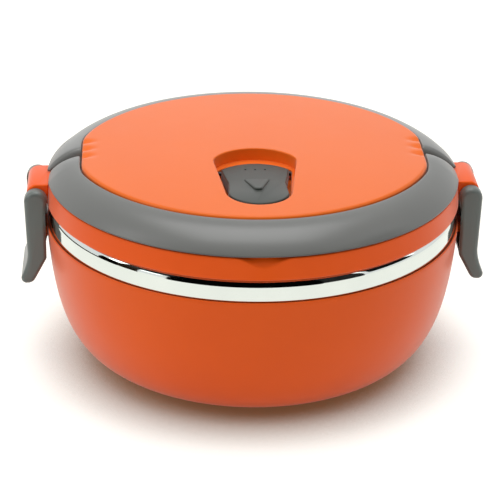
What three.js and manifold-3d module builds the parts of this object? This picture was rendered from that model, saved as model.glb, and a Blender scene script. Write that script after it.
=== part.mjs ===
// Insulated lunch box: a moulded bowl with a pressed steel liner, under a lid with two side clips,
// a swing-up carry handle and a steam vent. Millimetres, +Z up, standing on its foot ring at z = 0.
// The clips are at the two ends of X. The handle folds down to the front, which is -Y.

import * as THREE from "three";
import { mergeVertices } from "three/addons/utils/BufferGeometryUtils.js";
import Module from "manifold-3d";

// Facet counts
const BOX_FACETS = 48;
const PIN_FACETS = 16;
const BELLY_STEPS = 8;
const ARC_STEPS = 4;
const PANEL_POINTS = 52;

// Clearances
const SEAT_GAP = 0.3; // between pieces that sit on or in each other
const PIN_GAP = 0.3; // round a pin in its bore
const HANDLE_GAP = 0.5; // round the folded handle
const FLAP_GAP = 0.7; // round the vent flap

// Outer bowl
const BAND_RADIUS = 76.6; // outside of the bright steel band: the bowl, the lid and the clips follow it
const RIM_LIP = 0.7; // lip of the bowl's rim outside the band
const BOWL_HEIGHT = 55.5;
const BOWL_WALL = 2.2;
const BELLY_DRAFT = 4.6; // how far the wall leans in, at the knee of its curve
const BELLY_KNEE = 22; // height of that knee
const BELLY_CORNER = 5.1; // how far in the bottom corner of the curve is pulled
const FOOT_SETBACK = 27.6; // foot ring in from the rim
const FOOT_WIDTH = 4;
const FOOT_HEIGHT = 2.8;
const RIM_REBATE = 3; // depth of the groove in the rim that takes the steel band

// Steel liner
const STEEL = 0.7;
const BAND_HEIGHT = 8.7; // flat rim of the liner above the bowl's rim
const SHOULDER_RADIUS = 3.6; // bend from the band to the flat rim
const RIM_WIDTH = 8; // from the band in to the mouth
const MOUTH_BEND = 1.2; // bend from the flat rim into the mouth
const FLOOR_AIR = 1.3; // air under the liner's floor
const FLOOR_SETBACK = 26.6; // flat of the floor in from the mouth
const LINER_DRAFT = 2; // how far the liner's wall leans in
const LINER_KNEE = 26;
const LINER_CORNER = 5.6;

// Inner lid and gasket
const GASKET_HEIGHT = 3.5;
const GASKET_LIP = 0.8; // rounding of the sealing face
const PLATE_WALL = 1.6;
const LOCATING_WALL = 2;
const LOCATING_GAP = 0.4; // locating wall to liner mouth
const LOCATING_DEPTH = 3.7; // how far the wall dips into the mouth
const GROOVE_WALL = 1.7; // outside the gasket

// Lid shell
const SKIRT_OVERHANG = 0.7; // lower edge outside the band
const SKIRT_TAPER = 0.7; // how far the skirt leans in
const SKIRT_LAP = 0.3; // lower edge below the liner's flat rim
const SKIRT_WALL = 2.1;
const DECK_WALL = 1.8; // floor of the handle channel
const DECK_LEDGE = 6.2; // deck that carries the panel's edge
const NOTCH_RADIUS = 32; // round of the finger notch in the front of the skirt
const NOTCH_DROP = 3.5; // how far the notch comes down the skirt
const NOTCH_DEPTH = 1.8; // how far it cuts into the deck

// Handle and rear trim, which share one crowned section round the panel
const RING_SETBACK = 0.4; // ring in from the skirt's top edge
const RING_DROP = 0.5; // crown below the panel's edge
const RING_CROWN_RADIUS = 17.9;
const RING_CROWN_WIDTH = 14.6; // from the outside in to where the crown comes level
const HANDLE_FRONT_WIDTH = 14.5; // seen from above, in the middle
const HANDLE_END_WIDTH = 11.9; // beside the pivots
const HANDLE_PIVOT_Y = -2;
const KNUCKLE_RADIUS = 3.7;
const NOSE_SETBACK = 7.4; // foremost point of each rounded handle end, in from the ring's outside
const NOSE_OUTER_LENGTH = 9.7; // rounding on the outer side
const NOSE_INNER_LENGTH = 5.7; // rounding beside the panel
const HANDLE_WALL = 2;
const HANDLE_RIB = 1.6;
const HANDLE_RIB_COUNT = 7;
const HANDLE_SOLID_END = 9; // solid length beside each knuckle
const HANDLE_PIN_RADIUS = 1.3;
const HANDLE_PIN_IN = 4.6; // pin length inside the panel wall
const HANDLE_PIN_OUT = 4.2; // pin length inside the handle
const PIVOT_BOSS_WALL = 2; // round the pin, behind the panel wall
const TRIM_RAMP = 52; // lean of the scooped ends, in degrees from upright
const TRIM_CLEARANCE = 0.6; // from the knuckle to the ramp

// Top panel
const PANEL_HEIGHT = 9; // edge above the deck
const PANEL_FLAT_HALF = 15; // half of the straight edge beside each pivot
const PANEL_CROWN = 1.2; // rise from the edge to the middle
const PANEL_EDGE_RADIUS = 1.2;
const PANEL_WALL = 2;
const FLUTE_RADIUS = 5;
const FLUTE_DEPTH = 0.5;
const FLUTE_LENGTH = 7;
const FLUTE_PITCH = 7;
const FLUTE_COUNT = 3;
const FLUTE_CENTRE_Y = 3;

// Vent
const RECESS_MARGIN = 10.3; // nose of the recess in from the panel's front edge
const RECESS_REAR_RISE = 10.1; // bow of the recess's rear arc
const RECESS_DEPTH = 3.5; // panel's edge height down to the ledge
const REAR_LEDGE = 4.2; // ledge behind the flap's pocket
const SIDE_LEDGE = 1.7; // ledge beside it
const NOSE_LEDGE = 0.7; // ledge round its nose
const TUB_WALL = 1.6;
const TUB_FLOOR = 1.2;
const FLAP_LENGTH = 42.2;
const FLAP_REAR_RISE = 6; // bow of the flap's rear arc
const FLAP_SHOULDER_HALF = 12.4;
const FLAP_NOSE_HALF = 10.6;
const FLAP_PROUD = 1.5; // top of the flap over the ledge
const FLAP_PLATE = 1.8;
const FLAP_SKIRT = 2; // how far its rim hangs below the plate
const FLAP_RIM = 1.4;
const FLAP_TAIL_GAP = 2.8; // room behind the flap for its tail to swing down
const GRIP_RADIUS = 9; // scalloped finger grips
const GRIP_FROM_NOSE = 23.1;
const GRIP_HALF = 10.2; // half width of the flap at the grips
const WEDGE_HALF = 4.2;
const WEDGE_LENGTH = 9.8;
const WEDGE_FROM_NOSE = 14.4; // tip of the wedge
const WEDGE_RISE = 1.3;
const WEDGE_TIP_RADIUS = 1.4;
const VENT_PIN_RADIUS = 0.8;
const VENT_TAIL = 2.8; // flap's tail behind the pin
const VENT_PIN_DROP = 3; // below the flap's top
const VENT_PIN_SEAT = 1.6; // pin length in each side of the tub
const VENT_BARREL = 1.8;
const VENT_BARREL_HALF = 7; // half length
const CHIMNEY_FROM_NOSE = 18.9;
const CHIMNEY_BORE = 2.4; // radius
const CHIMNEY_WALL = 1.9;
const CHIMNEY_PROUD = 0.8; // over the floor of the tub
const SEAL_NIPPLE_RADIUS = 2;
const SEAL_NIPPLE_LENGTH = 1.7;
const SEAL_SOCKET_WALL = 1.2;
const SEAL_SOCKET_DEPTH = 1.5;

// Ears, clips and catches
const CLIP_STANDOFF = 3.7; // pivot out from the skirt's lower edge
const CLIP_PIVOT_RISE = 2.5; // pivot above that edge
const EAR_HALF = 9.75;
const EAR_DROP = 0.5; // top of the ear below the deck
const EAR_KNUCKLE = 3.4;
const EAR_ROUND = 4;
const CHEEK_WALL = 4.4;
const CHEEK_RADIUS = 4.2;
const CLIP_INNER = 3.8; // from the pivot line in to the cheeks' inner edge
const CLIP_OUTER = 3.5; // from the pivot line out to the plate's face, at the bend
const CLIP_CLEARANCE = 1; // cheeks round the bowl's rim, with room to latch
const CLIP_PLATE = 2.3;
const CLIP_PLATE_TOP = 4.5; // plate's top edge below the pivot
const CLIP_BEND = 22.5; // bend of the finger tab below the pivot
const CLIP_LENGTH = 33; // tab's end below the pivot
const TAB_KICK = 6.1; // tab's end out from the pivot line
const TAB_THICKNESS = 4.3;
const TAB_ROUND = 2;
const POCKET_END = 24; // hollow of the clip ends this far below the pivot
const CLIP_PIN_RADIUS = 1.2;
const CHEEK_SKIN = 1.6; // left outside the blind bore
const CATCH_HALF = 6;
const CATCH_REACH = 2.6; // past the bowl's rim
const CATCH_DROP = 2; // below the bowl's rim
const CATCH_HEIGHT = 4;
const HOOK_HEIGHT = 2.6;
const HOOK_GAP = 0.33; // hook to catch, with the clip just released

// Radii, from the steel band out to the clips and in to the mouth
const rebateRadius = BAND_RADIUS + SEAT_GAP;
const bowlRadius = rebateRadius + RIM_LIP;
const footRadius = bowlRadius - FOOT_SETBACK;
const mouthRadius = BAND_RADIUS - RIM_WIDTH;
const floorRadius = mouthRadius - FLOOR_SETBACK;
const skirtRadius = BAND_RADIUS + SKIRT_OVERHANG;
const skirtTopRadius = skirtRadius - SKIRT_TAPER;
const skirtInside = skirtRadius - SKIRT_WALL;
const trayRadius = skirtInside - SEAT_GAP;
const grooveRadius = trayRadius - GROOVE_WALL;
const ringRadius = skirtTopRadius - RING_SETBACK;
const ringLevelRadius = ringRadius - RING_CROWN_WIDTH;
const noseX = ringRadius - NOSE_SETBACK;
const panelHalfWidth = ringRadius - HANDLE_END_WIDTH - HANDLE_GAP;
const panelHalfDepth = ringRadius - HANDLE_FRONT_WIDTH - HANDLE_GAP;
const deckOpening = panelHalfDepth - DECK_LEDGE;
const clipPivotX = skirtRadius + CLIP_STANDOFF;

// Heights, from the foot up
const rebateFloor = BOWL_HEIGHT - RIM_REBATE;
const linerFloor = FOOT_HEIGHT + BOWL_WALL + FLOOR_AIR + STEEL;
const linerHeight = BOWL_HEIGHT + BAND_HEIGHT;
const skirtLow = linerHeight - SKIRT_LAP;
const clipPivotZ = skirtLow + CLIP_PIVOT_RISE;
const gasketLow = linerHeight + SEAT_GAP;
const gasketTop = gasketLow + GASKET_HEIGHT;
const plateLow = gasketTop + SEAT_GAP;
const plateTop = plateLow + PLATE_WALL;
const deckUnderside = plateTop + SEAT_GAP;
const deckHeight = deckUnderside + DECK_WALL;
const earTop = deckHeight - EAR_DROP;
const panelLow = deckHeight + SEAT_GAP;
const handleLow = deckHeight + HANDLE_GAP;
const handlePivotZ = handleLow + KNUCKLE_RADIUS;
const panelEdge = deckHeight + PANEL_HEIGHT;
const ringCrownHeight = panelEdge - RING_DROP;
const aboveAll = panelEdge + 2 * PANEL_CROWN + 1;

// Vent, from the nose of its recess to the rear
const recessNose = RECESS_MARGIN - panelHalfDepth;
const flapNose = recessNose + FLAP_GAP + SEAT_GAP;
const flapRear = flapNose + FLAP_LENGTH;
const flapShoulder = flapRear - FLAP_REAR_RISE;
const pocketRear = flapRear + FLAP_TAIL_GAP;
const pocketShoulder = flapShoulder + FLAP_TAIL_GAP;
const pocketShoulderHalf = FLAP_SHOULDER_HALF + 2 * FLAP_GAP;
const recessRear = pocketRear + REAR_LEDGE;
const recessShoulder = recessRear - RECESS_REAR_RISE;
const recessShoulderHalf = pocketShoulderHalf + SIDE_LEDGE;
const recessNoseHalf = FLAP_NOSE_HALF + FLAP_GAP + NOSE_LEDGE;
const ventPinY = flapRear - VENT_TAIL;
const gripY = flapNose + GRIP_FROM_NOSE;
const wedgeTip = flapNose + WEDGE_FROM_NOSE;
const wedgeRear = wedgeTip + WEDGE_LENGTH;
const chimneyY = flapNose + CHIMNEY_FROM_NOSE;

const wasm = await Module();
wasm.setup();

const at = (x, y) => new THREE.Vector2(x, y);

// Solids: geometry becomes a solid for joining and cutting, and comes back as geometry.

function solid(geometry) {
  const bare = geometry.clone();
  bare.deleteAttribute("normal");
  bare.deleteAttribute("uv");
  const welded = mergeVertices(bare, 1e-4);
  const index = welded.index.array;
  const triangles = [];
  for (let i = 0; i < index.length; i += 3) {
    const [a, b, c] = index.slice(i, i + 3);
    if (a !== b && b !== c && c !== a) triangles.push(a, b, c);
  }
  const mesh = new wasm.Mesh({
    numProp: 3,
    vertProperties: new Float32Array(welded.attributes.position.array),
    triVerts: new Uint32Array(triangles),
  });
  return new wasm.Manifold(mesh);
}

function surface(body) {
  const mesh = body.getMesh();
  const geometry = new THREE.BufferGeometry();
  geometry.setAttribute("position", new THREE.BufferAttribute(mesh.vertProperties, 3));
  geometry.setIndex(new THREE.BufferAttribute(mesh.triVerts, 1));
  geometry.computeVertexNormals();
  return geometry;
}

const join = (first, ...others) => others.reduce((sum, other) => sum.add(other), first);
const cut = (first, ...others) => others.reduce((rest, other) => rest.subtract(other), first);

// A profile of radius and height, anticlockwise, turned about the Z axis.
function revolve(profile, facets = BOX_FACETS) {
  const closed = profile[0].x === 0 ? profile : [...profile, profile[0]];
  return solid(new THREE.LatheGeometry(closed, facets).rotateX(Math.PI / 2));
}

// An outline seen from above, raised from one height to another.
function raise(shape, low, high, curveSegments = 12) {
  const settings = { depth: high - low, bevelEnabled: false, curveSegments };
  return solid(new THREE.ExtrudeGeometry(shape, settings).translate(0, 0, low));
}

// An outline in X and Z, drawn out to both sides of the XZ plane and turned about Z.
function drawAcross(shape, half, turn = 0, curveSegments = 8) {
  const settings = { depth: 2 * half, bevelEnabled: false, curveSegments };
  const geometry = new THREE.ExtrudeGeometry(shape, settings).translate(0, 0, -half);
  return solid(geometry.rotateX(Math.PI / 2).rotateZ(turn));
}

function box(x, y, z) {
  const geometry = new THREE.BoxGeometry(x[1] - x[0], y[1] - y[0], z[1] - z[0]);
  return solid(geometry.translate((x[0] + x[1]) / 2, (y[0] + y[1]) / 2, (z[0] + z[1]) / 2));
}

function rodX(radius, x0, x1, y, z) {
  const geometry = new THREE.CylinderGeometry(radius, radius, x1 - x0, PIN_FACETS).rotateZ(Math.PI / 2);
  return solid(geometry.translate((x0 + x1) / 2, y, z));
}

function rodY(radius, half, x, z) {
  return solid(new THREE.CylinderGeometry(radius, radius, 2 * half, PIN_FACETS).translate(x, 0, z));
}

function rodZ(radius, low, high, x, y, facets = PIN_FACETS) {
  const geometry = new THREE.CylinderGeometry(radius, radius, high - low, facets).rotateX(Math.PI / 2);
  return solid(geometry.translate(x, y, (low + high) / 2));
}

// Rings of points from the top, over the outside and down, closed at both ends by a flat fan.
function loft(rings) {
  const count = rings[0].length;
  const centre = (ring) => ring.reduce((sum, p) => sum.add(p), new THREE.Vector3()).divideScalar(count);
  const points = [...rings.flat(), centre(rings[0]), centre(rings.at(-1))];
  const first = rings.length * count;
  const last = first - count;
  const index = [];
  for (let j = 0; j < count; j++) {
    const k = (j + 1) % count;
    index.push(first, j, k, first + 1, last + k, last + j);
    for (let i = 0; i < rings.length - 1; i++) {
      const upper = i * count;
      const lower = upper + count;
      index.push(upper + j, lower + j, lower + k, upper + j, lower + k, upper + k);
    }
  }
  return solid(new THREE.BufferGeometry().setFromPoints(points).setIndex(index));
}

// Points of a round bend between two angles, in degrees.
function bend(x, z, radius, from, to, steps = ARC_STEPS) {
  return Array.from({ length: steps + 1 }, (_, i) => {
    const angle = THREE.MathUtils.degToRad(from + ((to - from) * i) / steps);
    return at(x + radius * Math.cos(angle), z + radius * Math.sin(angle));
  });
}

// Points along a curve, moved square to it: a positive distance is to the left of its direction.
function beside(curve, steps, distance) {
  return Array.from({ length: steps + 1 }, (_, i) => {
    const tangent = curve.getTangent(i / steps);
    return curve.getPoint(i / steps).add(at(-tangent.y, tangent.x).multiplyScalar(distance));
  });
}

// Materials

const plastic = (color, roughness) => new THREE.MeshStandardMaterial({ color, roughness, metalness: 0 });
const bowlOrange = plastic("#d2561f", 0.5);
const lidOrange = plastic("#ef6524", 0.45);
const handleGrey = plastic("#858685", 0.5);
const clipGrey = plastic("#5f615f", 0.5);
const flapGrey = plastic("#6a706c", 0.5);
const innerOrange = plastic("#e8692f", 0.5);
const silicone = plastic("#e9e7e2", 0.7);
const polishedSteel = new THREE.MeshStandardMaterial({ color: "#d5d7d8", roughness: 0.12, metalness: 1 });
const pinSteel = new THREE.MeshStandardMaterial({ color: "#b4b6b8", roughness: 0.3, metalness: 1 });

const lunchBox = new THREE.Group();

function add(name, body, material, parent = lunchBox) {
  const mesh = new THREE.Mesh(surface(body), material);
  mesh.name = name;
  parent.add(mesh);
  return mesh;
}

// Outer bowl: one moulding, drawn in to a foot ring, with a rebate in its rim and a catch at each clip.

const belly = new THREE.CubicBezierCurve(
  at(footRadius, FOOT_HEIGHT),
  at(bowlRadius - BELLY_CORNER, FOOT_HEIGHT),
  at(bowlRadius - BELLY_DRAFT, BELLY_KNEE),
  at(bowlRadius, BOWL_HEIGHT),
);
const bellyInside = beside(belly, BELLY_STEPS, BOWL_WALL).filter((p) => p.y < rebateFloor);
const bowlInnerRim = bellyInside.at(-1).x;

function catchShape() {
  const top = BOWL_HEIGHT - CATCH_DROP;
  const reach = bowlRadius + CATCH_REACH;
  const root = rebateRadius;
  const shape = new THREE.Shape();
  shape.moveTo(root, top - CATCH_HEIGHT);
  shape.lineTo(reach, top - CATCH_HEIGHT);
  shape.lineTo(reach, top - CATCH_HEIGHT / 2);
  shape.lineTo(bowlRadius, top);
  shape.lineTo(root, top);
  return shape;
}

const bowlShell = revolve([
  at(0, FOOT_HEIGHT),
  at(footRadius - FOOT_WIDTH, FOOT_HEIGHT),
  at(footRadius - FOOT_WIDTH, 0),
  at(footRadius, 0),
  ...belly.getPoints(BELLY_STEPS),
  at(rebateRadius, BOWL_HEIGHT),
  at(rebateRadius, rebateFloor),
  at(bowlInnerRim, rebateFloor),
  ...bellyInside.toReversed(),
  at(0, FOOT_HEIGHT + BOWL_WALL),
]);
const catches = [0, Math.PI].map((turn) => drawAcross(catchShape(), CATCH_HALF, turn));
add("outer_bowl", join(bowlShell, ...catches), bowlOrange);

// Steel liner: one pressing. The food side rises to the mouth, turns out flat as the rim that the gasket
// meets, bends over the shoulder and hangs down outside as the bright band, into the bowl's rebate.

const linerWall = new THREE.CubicBezierCurve(
  at(floorRadius, linerFloor),
  at(mouthRadius - LINER_CORNER, linerFloor),
  at(mouthRadius - LINER_DRAFT, LINER_KNEE),
  at(mouthRadius, linerHeight - MOUTH_BEND),
);
const shoulderX = BAND_RADIUS - SHOULDER_RADIUS;
const shoulderZ = linerHeight - SHOULDER_RADIUS;
const mouthX = mouthRadius + MOUTH_BEND;
const mouthZ = linerHeight - MOUTH_BEND;
const bandLow = rebateFloor + SEAT_GAP;

const liner = revolve([
  at(0, linerFloor - STEEL),
  ...beside(linerWall, BELLY_STEPS, -STEEL),
  ...bend(mouthX, mouthZ, MOUTH_BEND - STEEL, 180, 90, 2),
  ...bend(shoulderX, shoulderZ, SHOULDER_RADIUS - STEEL, 90, 0),
  at(BAND_RADIUS - STEEL, bandLow),
  at(BAND_RADIUS, bandLow),
  ...bend(shoulderX, shoulderZ, SHOULDER_RADIUS, 0, 90),
  ...bend(mouthX, mouthZ, MOUTH_BEND, 90, 180, 2),
  ...linerWall.getPoints(BELLY_STEPS).toReversed(),
  at(0, linerFloor),
]);
add("steel_liner", liner, polishedSteel);

// Lid shell: skirt, handle channel and ears in one moulding, with a scooped finger notch in front.

const skirtRing = revolve([
  at(skirtRadius, skirtLow),
  at(skirtTopRadius, deckHeight),
  at(deckOpening, deckHeight),
  at(deckOpening, deckUnderside),
  at(skirtInside, deckUnderside),
  at(skirtInside, skirtLow),
]);

function earShape() {
  const root = skirtInside + SKIRT_WALL / 2;
  const outside = clipPivotX + EAR_KNUCKLE;
  const shape = new THREE.Shape();
  shape.moveTo(root, skirtLow + SEAT_GAP);
  shape.absarc(clipPivotX, clipPivotZ, EAR_KNUCKLE, -Math.PI / 2, 0, false);
  shape.absarc(outside - EAR_ROUND, earTop - EAR_ROUND, EAR_ROUND, 0, Math.PI / 2, false);
  shape.lineTo(root, earTop);
  return shape;
}

function ear(turn) {
  const block = drawAcross(earShape(), EAR_HALF, turn, ARC_STEPS);
  const bore = rodY(CLIP_PIN_RADIUS + PIN_GAP, EAR_HALF + 1, Math.cos(turn) * clipPivotX, clipPivotZ);
  return cut(block, bore);
}

// The notch is a round scoop that leans from its lip on the skirt up to the deck.
function fingerNotch() {
  const lean = Math.atan2(NOTCH_DROP, NOTCH_DEPTH);
  const flare = (NOTCH_DROP / (deckHeight - skirtLow)) * (skirtRadius - skirtTopRadius);
  const scoop = new THREE.CylinderGeometry(NOTCH_RADIUS, NOTCH_RADIUS, 4 * NOTCH_DROP, 2 * BOX_FACETS);
  scoop.translate(0, 0, NOTCH_RADIUS).rotateX(lean);
  const lip = skirtTopRadius + flare;
  return solid(scoop.translate(0, NOTCH_DEPTH / 2 - lip, deckHeight - NOTCH_DROP / 2));
}

const lidShell = cut(join(skirtRing, ear(0), ear(Math.PI)), fingerNotch());
add("lid_shell", lidShell, lidOrange);

// Top panel: a lens of two wide arcs, cut straight beside each handle pivot, with a low crown.

const panelRise = panelHalfDepth - PANEL_FLAT_HALF;
const panelCorner = panelHalfWidth ** 2 + PANEL_FLAT_HALF ** 2;
const panelArcCentre = (panelHalfDepth ** 2 - panelCorner) / (2 * panelRise);
const panelArcRadius = panelHalfDepth - panelArcCentre;

function panelShape(grow) {
  const radius = panelArcRadius + grow;
  const corner = Math.acos((panelHalfWidth + grow) / radius);
  const shape = new THREE.Shape();
  shape.absarc(0, panelArcCentre, radius, corner, Math.PI - corner, false);
  shape.absarc(0, -panelArcCentre, radius, Math.PI + corner, 2 * Math.PI - corner, false);
  shape.closePath();
  return shape;
}

function panelRing(grow, z, share = 1) {
  const points = panelShape(grow).getSpacedPoints(PANEL_POINTS).slice(0, PANEL_POINTS);
  return points.map((p) => new THREE.Vector3(p.x * share, p.y * share, z));
}

// A crowned block with the panel's outline, for the outside and for the hollow.
function panelBlock(grow, edge, edgeRadius, low) {
  const crown = (share) => edge + PANEL_CROWN * (1 - share ** 2);
  const roundHalf = edgeRadius * (1 - Math.SQRT1_2);
  return loft([
    panelRing(grow - edgeRadius, crown(0.3), 0.3),
    panelRing(grow - edgeRadius, crown(0.7), 0.7),
    panelRing(grow - edgeRadius, edge),
    panelRing(grow - roundHalf, edge - roundHalf),
    panelRing(grow, edge - edgeRadius),
    panelRing(grow, low),
  ]);
}

const sides = [-1, 1];

// Vent outlines: a wide arc at the rear, sides that draw in, and a round nose in front.
function rearArc(rear, shoulder, shoulderHalf) {
  const rise = rear - shoulder;
  const radius = (shoulderHalf ** 2 + rise ** 2) / (2 * rise);
  return { radius, centre: rear - radius, sweep: Math.asin(shoulderHalf / radius) };
}

function ventShape(rear, shoulder, shoulderHalf, nose, noseHalf) {
  const { radius, centre, sweep } = rearArc(rear, shoulder, shoulderHalf);
  const shape = new THREE.Shape();
  shape.absarc(0, centre, radius, Math.PI / 2 - sweep, Math.PI / 2 + sweep, false);
  shape.absarc(0, nose + noseHalf, noseHalf, Math.PI, 2 * Math.PI, false);
  shape.closePath();
  return shape;
}

const recessShape = (grow) =>
  ventShape(
    recessRear + grow,
    recessShoulder,
    recessShoulderHalf + grow,
    recessNose - grow,
    recessNoseHalf + grow,
  );
const ledge = panelEdge - RECESS_DEPTH;
const flapTop = ledge + FLAP_PROUD;
const flapUnder = flapTop - FLAP_PLATE;
const flapLow = flapUnder - FLAP_SKIRT;
const tubFloor = panelLow + TUB_FLOOR;
const ventPinZ = flapTop - VENT_PIN_DROP;
const pocketShape = ventShape(
  pocketRear,
  pocketShoulder,
  pocketShoulderHalf,
  flapNose - FLAP_GAP,
  FLAP_NOSE_HALF + FLAP_GAP,
);
const pocketArc = rearArc(pocketRear, pocketShoulder, pocketShoulderHalf);
const pocketHalfAtPin = Math.sqrt(pocketArc.radius ** 2 - (ventPinY - pocketArc.centre) ** 2);
const ventPinHalf = pocketHalfAtPin + VENT_PIN_SEAT;

// Shallow flutes at both ends of the panel, deepest at the edge and running out towards the middle.
function flute(side, y) {
  const slope = Math.atan2(FLUTE_DEPTH, FLUTE_LENGTH);
  const groove = new THREE.CylinderGeometry(FLUTE_RADIUS, FLUTE_RADIUS, 2 * FLUTE_LENGTH, 2 * PIN_FACETS);
  groove.rotateZ(Math.PI / 2).translate(0, 0, FLUTE_RADIUS).rotateY(side * slope);
  return solid(groove.translate(side * panelHalfWidth, y, panelEdge - FLUTE_DEPTH));
}

function pivotBoss(side) {
  const inside = panelHalfWidth - PANEL_WALL - HANDLE_PIN_IN;
  const span = [side * inside, side * (panelHalfWidth - PANEL_WALL / 2)].toSorted((a, b) => a - b);
  return rodX(HANDLE_PIN_RADIUS + PIN_GAP + PIVOT_BOSS_WALL, ...span, HANDLE_PIVOT_Y, handlePivotZ);
}

function handlePin(side, gap) {
  const inside = panelHalfWidth - PANEL_WALL - HANDLE_PIN_IN + SEAT_GAP - 2 * gap;
  const outside = panelHalfWidth + HANDLE_GAP + HANDLE_PIN_OUT + gap;
  const span = [side * inside, side * outside].toSorted((a, b) => a - b);
  return rodX(HANDLE_PIN_RADIUS + gap, ...span, HANDLE_PIVOT_Y, handlePivotZ);
}

const panelOuter = panelBlock(0, panelEdge, PANEL_EDGE_RADIUS, panelLow);
const panelHollow = panelBlock(-PANEL_WALL, panelEdge - PANEL_WALL, PANEL_EDGE_RADIUS, panelLow - 1);
const tub = raise(recessShape(TUB_WALL), panelLow, aboveAll).intersect(panelOuter);
const fluteRows = Array.from(
  { length: FLUTE_COUNT },
  (_, i) => FLUTE_CENTRE_Y + (i - (FLUTE_COUNT - 1) / 2) * FLUTE_PITCH,
);
const topPanel = cut(
  join(cut(panelOuter, panelHollow), tub, ...sides.map(pivotBoss)),
  raise(recessShape(0), ledge, aboveAll),
  raise(pocketShape, tubFloor, aboveAll),
  rodX(VENT_PIN_RADIUS + PIN_GAP, -ventPinHalf - PIN_GAP, ventPinHalf + PIN_GAP, ventPinY, ventPinZ),
  rodZ(CHIMNEY_BORE + CHIMNEY_WALL + SEAT_GAP, panelLow - 1, tubFloor + 1, 0, chimneyY),
  ...sides.map((side) => handlePin(side, PIN_GAP)),
  ...sides.flatMap((side) => fluteRows.map((y) => flute(side, y))),
);
add("top_panel", topPanel, lidOrange);

// Handle and rear trim: one crowned ring round the panel, parted at the pivots.

function crownedRing(inset, low) {
  const radius = RING_CROWN_RADIUS - inset;
  const outside = ringRadius - inset;
  const crownZ = ringCrownHeight - RING_CROWN_RADIUS;
  const edge = THREE.MathUtils.radToDeg(Math.acos((outside - ringLevelRadius) / radius));
  return revolve([
    at(deckOpening, low),
    at(outside, low),
    ...bend(ringLevelRadius, crownZ, radius, edge, 90, ARC_STEPS + 2),
    at(deckOpening, crownZ + radius),
  ]);
}

const farOut = 2 * ringRadius;
const front = (y) => box([-farOut, farOut], [-farOut, y], [0, farOut]);
const behind = (y) => box([-farOut, farOut], [y, farOut], [0, farOut]);
const panelHole = (grow) => raise(panelShape(grow), 0, farOut, BOX_FACETS / 2);

// The handle is hollow underneath, with ribs across the hollow and a round solid knuckle at each end.
function handleHollow() {
  const hollow = cut(crownedRing(HANDLE_WALL, handleLow - 1), panelHole(HANDLE_GAP + HANDLE_WALL));
  const ribs = Array.from({ length: HANDLE_RIB_COUNT }, (_, i) => {
    const rib = new THREE.BoxGeometry(farOut, HANDLE_RIB, farOut).translate(farOut / 2, 0, farOut / 2);
    return solid(rib.rotateZ(-Math.PI * ((i + 1) / (HANDLE_RIB_COUNT + 1))));
  });
  return cut(hollow.intersect(front(HANDLE_PIVOT_Y - HANDLE_SOLID_END)), ...ribs);
}

// Seen from above, each end of the handle is rounded off on both sides.
function handlePlan() {
  const tip = HANDLE_PIVOT_Y + KNUCKLE_RADIUS;
  const outer = ringRadius + SEAT_GAP - noseX;
  const inner = noseX - panelHalfWidth - HANDLE_GAP;
  const outerY = tip - NOSE_OUTER_LENGTH;
  const innerY = tip - NOSE_INNER_LENGTH;
  const shape = new THREE.Shape();
  shape.moveTo(-noseX - outer, -farOut);
  shape.lineTo(noseX + outer, -farOut);
  shape.absellipse(noseX, outerY, outer, NOSE_OUTER_LENGTH, 0, Math.PI / 2, false);
  shape.absellipse(noseX, innerY, inner, NOSE_INNER_LENGTH, Math.PI / 2, Math.PI, false);
  shape.absellipse(-noseX, innerY, inner, NOSE_INNER_LENGTH, 0, Math.PI / 2, false);
  shape.absellipse(-noseX, outerY, outer, NOSE_OUTER_LENGTH, Math.PI / 2, Math.PI, false);
  shape.closePath();
  return raise(shape, 0, farOut, 2 * ARC_STEPS);
}

const knuckleLine = rodX(KNUCKLE_RADIUS, -farOut, farOut, HANDLE_PIVOT_Y, handlePivotZ);
const handleRing = cut(crownedRing(0, handleLow), panelHole(HANDLE_GAP));
const carryHandle = cut(
  handleRing.intersect(join(front(HANDLE_PIVOT_Y), knuckleLine)).intersect(handlePlan()),
  handleHollow(),
  ...sides.map((side) => handlePin(side, PIN_GAP)),
);
add("carry_handle", carryHandle, handleGrey);
sides.forEach((side) => {
  add(side < 0 ? "handle_pin_left" : "handle_pin_right", handlePin(side, 0), pinSteel);
});

// The ends of the rear trim are scooped to a ramp that the knuckles turn against.
function trimRamp() {
  const slab = new THREE.BoxGeometry(2 * farOut, farOut, 2 * farOut).translate(0, -farOut / 2, 0);
  slab.translate(0, KNUCKLE_RADIUS + TRIM_CLEARANCE, 0).rotateX(-THREE.MathUtils.degToRad(TRIM_RAMP));
  return solid(slab.translate(0, HANDLE_PIVOT_Y, handlePivotZ));
}

const trimRing = cut(crownedRing(0, deckHeight + SEAT_GAP), panelHole(SEAT_GAP));
add("rear_trim", cut(trimRing.intersect(behind(HANDLE_PIVOT_Y)), trimRamp()), handleGrey);

// Inner lid: a tray under the deck with the locating wall, the gasket groove and the vent chimney.

const locatingRadius = mouthRadius - LOCATING_GAP;
const chimneyTop = tubFloor + CHIMNEY_PROUD;
const tray = revolve([
  at(0, plateLow),
  at(locatingRadius - LOCATING_WALL, plateLow),
  at(locatingRadius - LOCATING_WALL, linerHeight - LOCATING_DEPTH),
  at(locatingRadius, linerHeight - LOCATING_DEPTH),
  at(locatingRadius, plateLow),
  at(grooveRadius, plateLow),
  at(grooveRadius, gasketLow),
  at(trayRadius, gasketLow),
  at(trayRadius, plateTop),
  at(0, plateTop),
]);
const chimney = rodZ(CHIMNEY_BORE + CHIMNEY_WALL, plateTop - PLATE_WALL / 2, chimneyTop, 0, chimneyY);
const chimneyBore = rodZ(CHIMNEY_BORE, plateLow - 1, chimneyTop + 1, 0, chimneyY);
add("inner_lid", cut(join(tray, chimney), chimneyBore), innerOrange);

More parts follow.
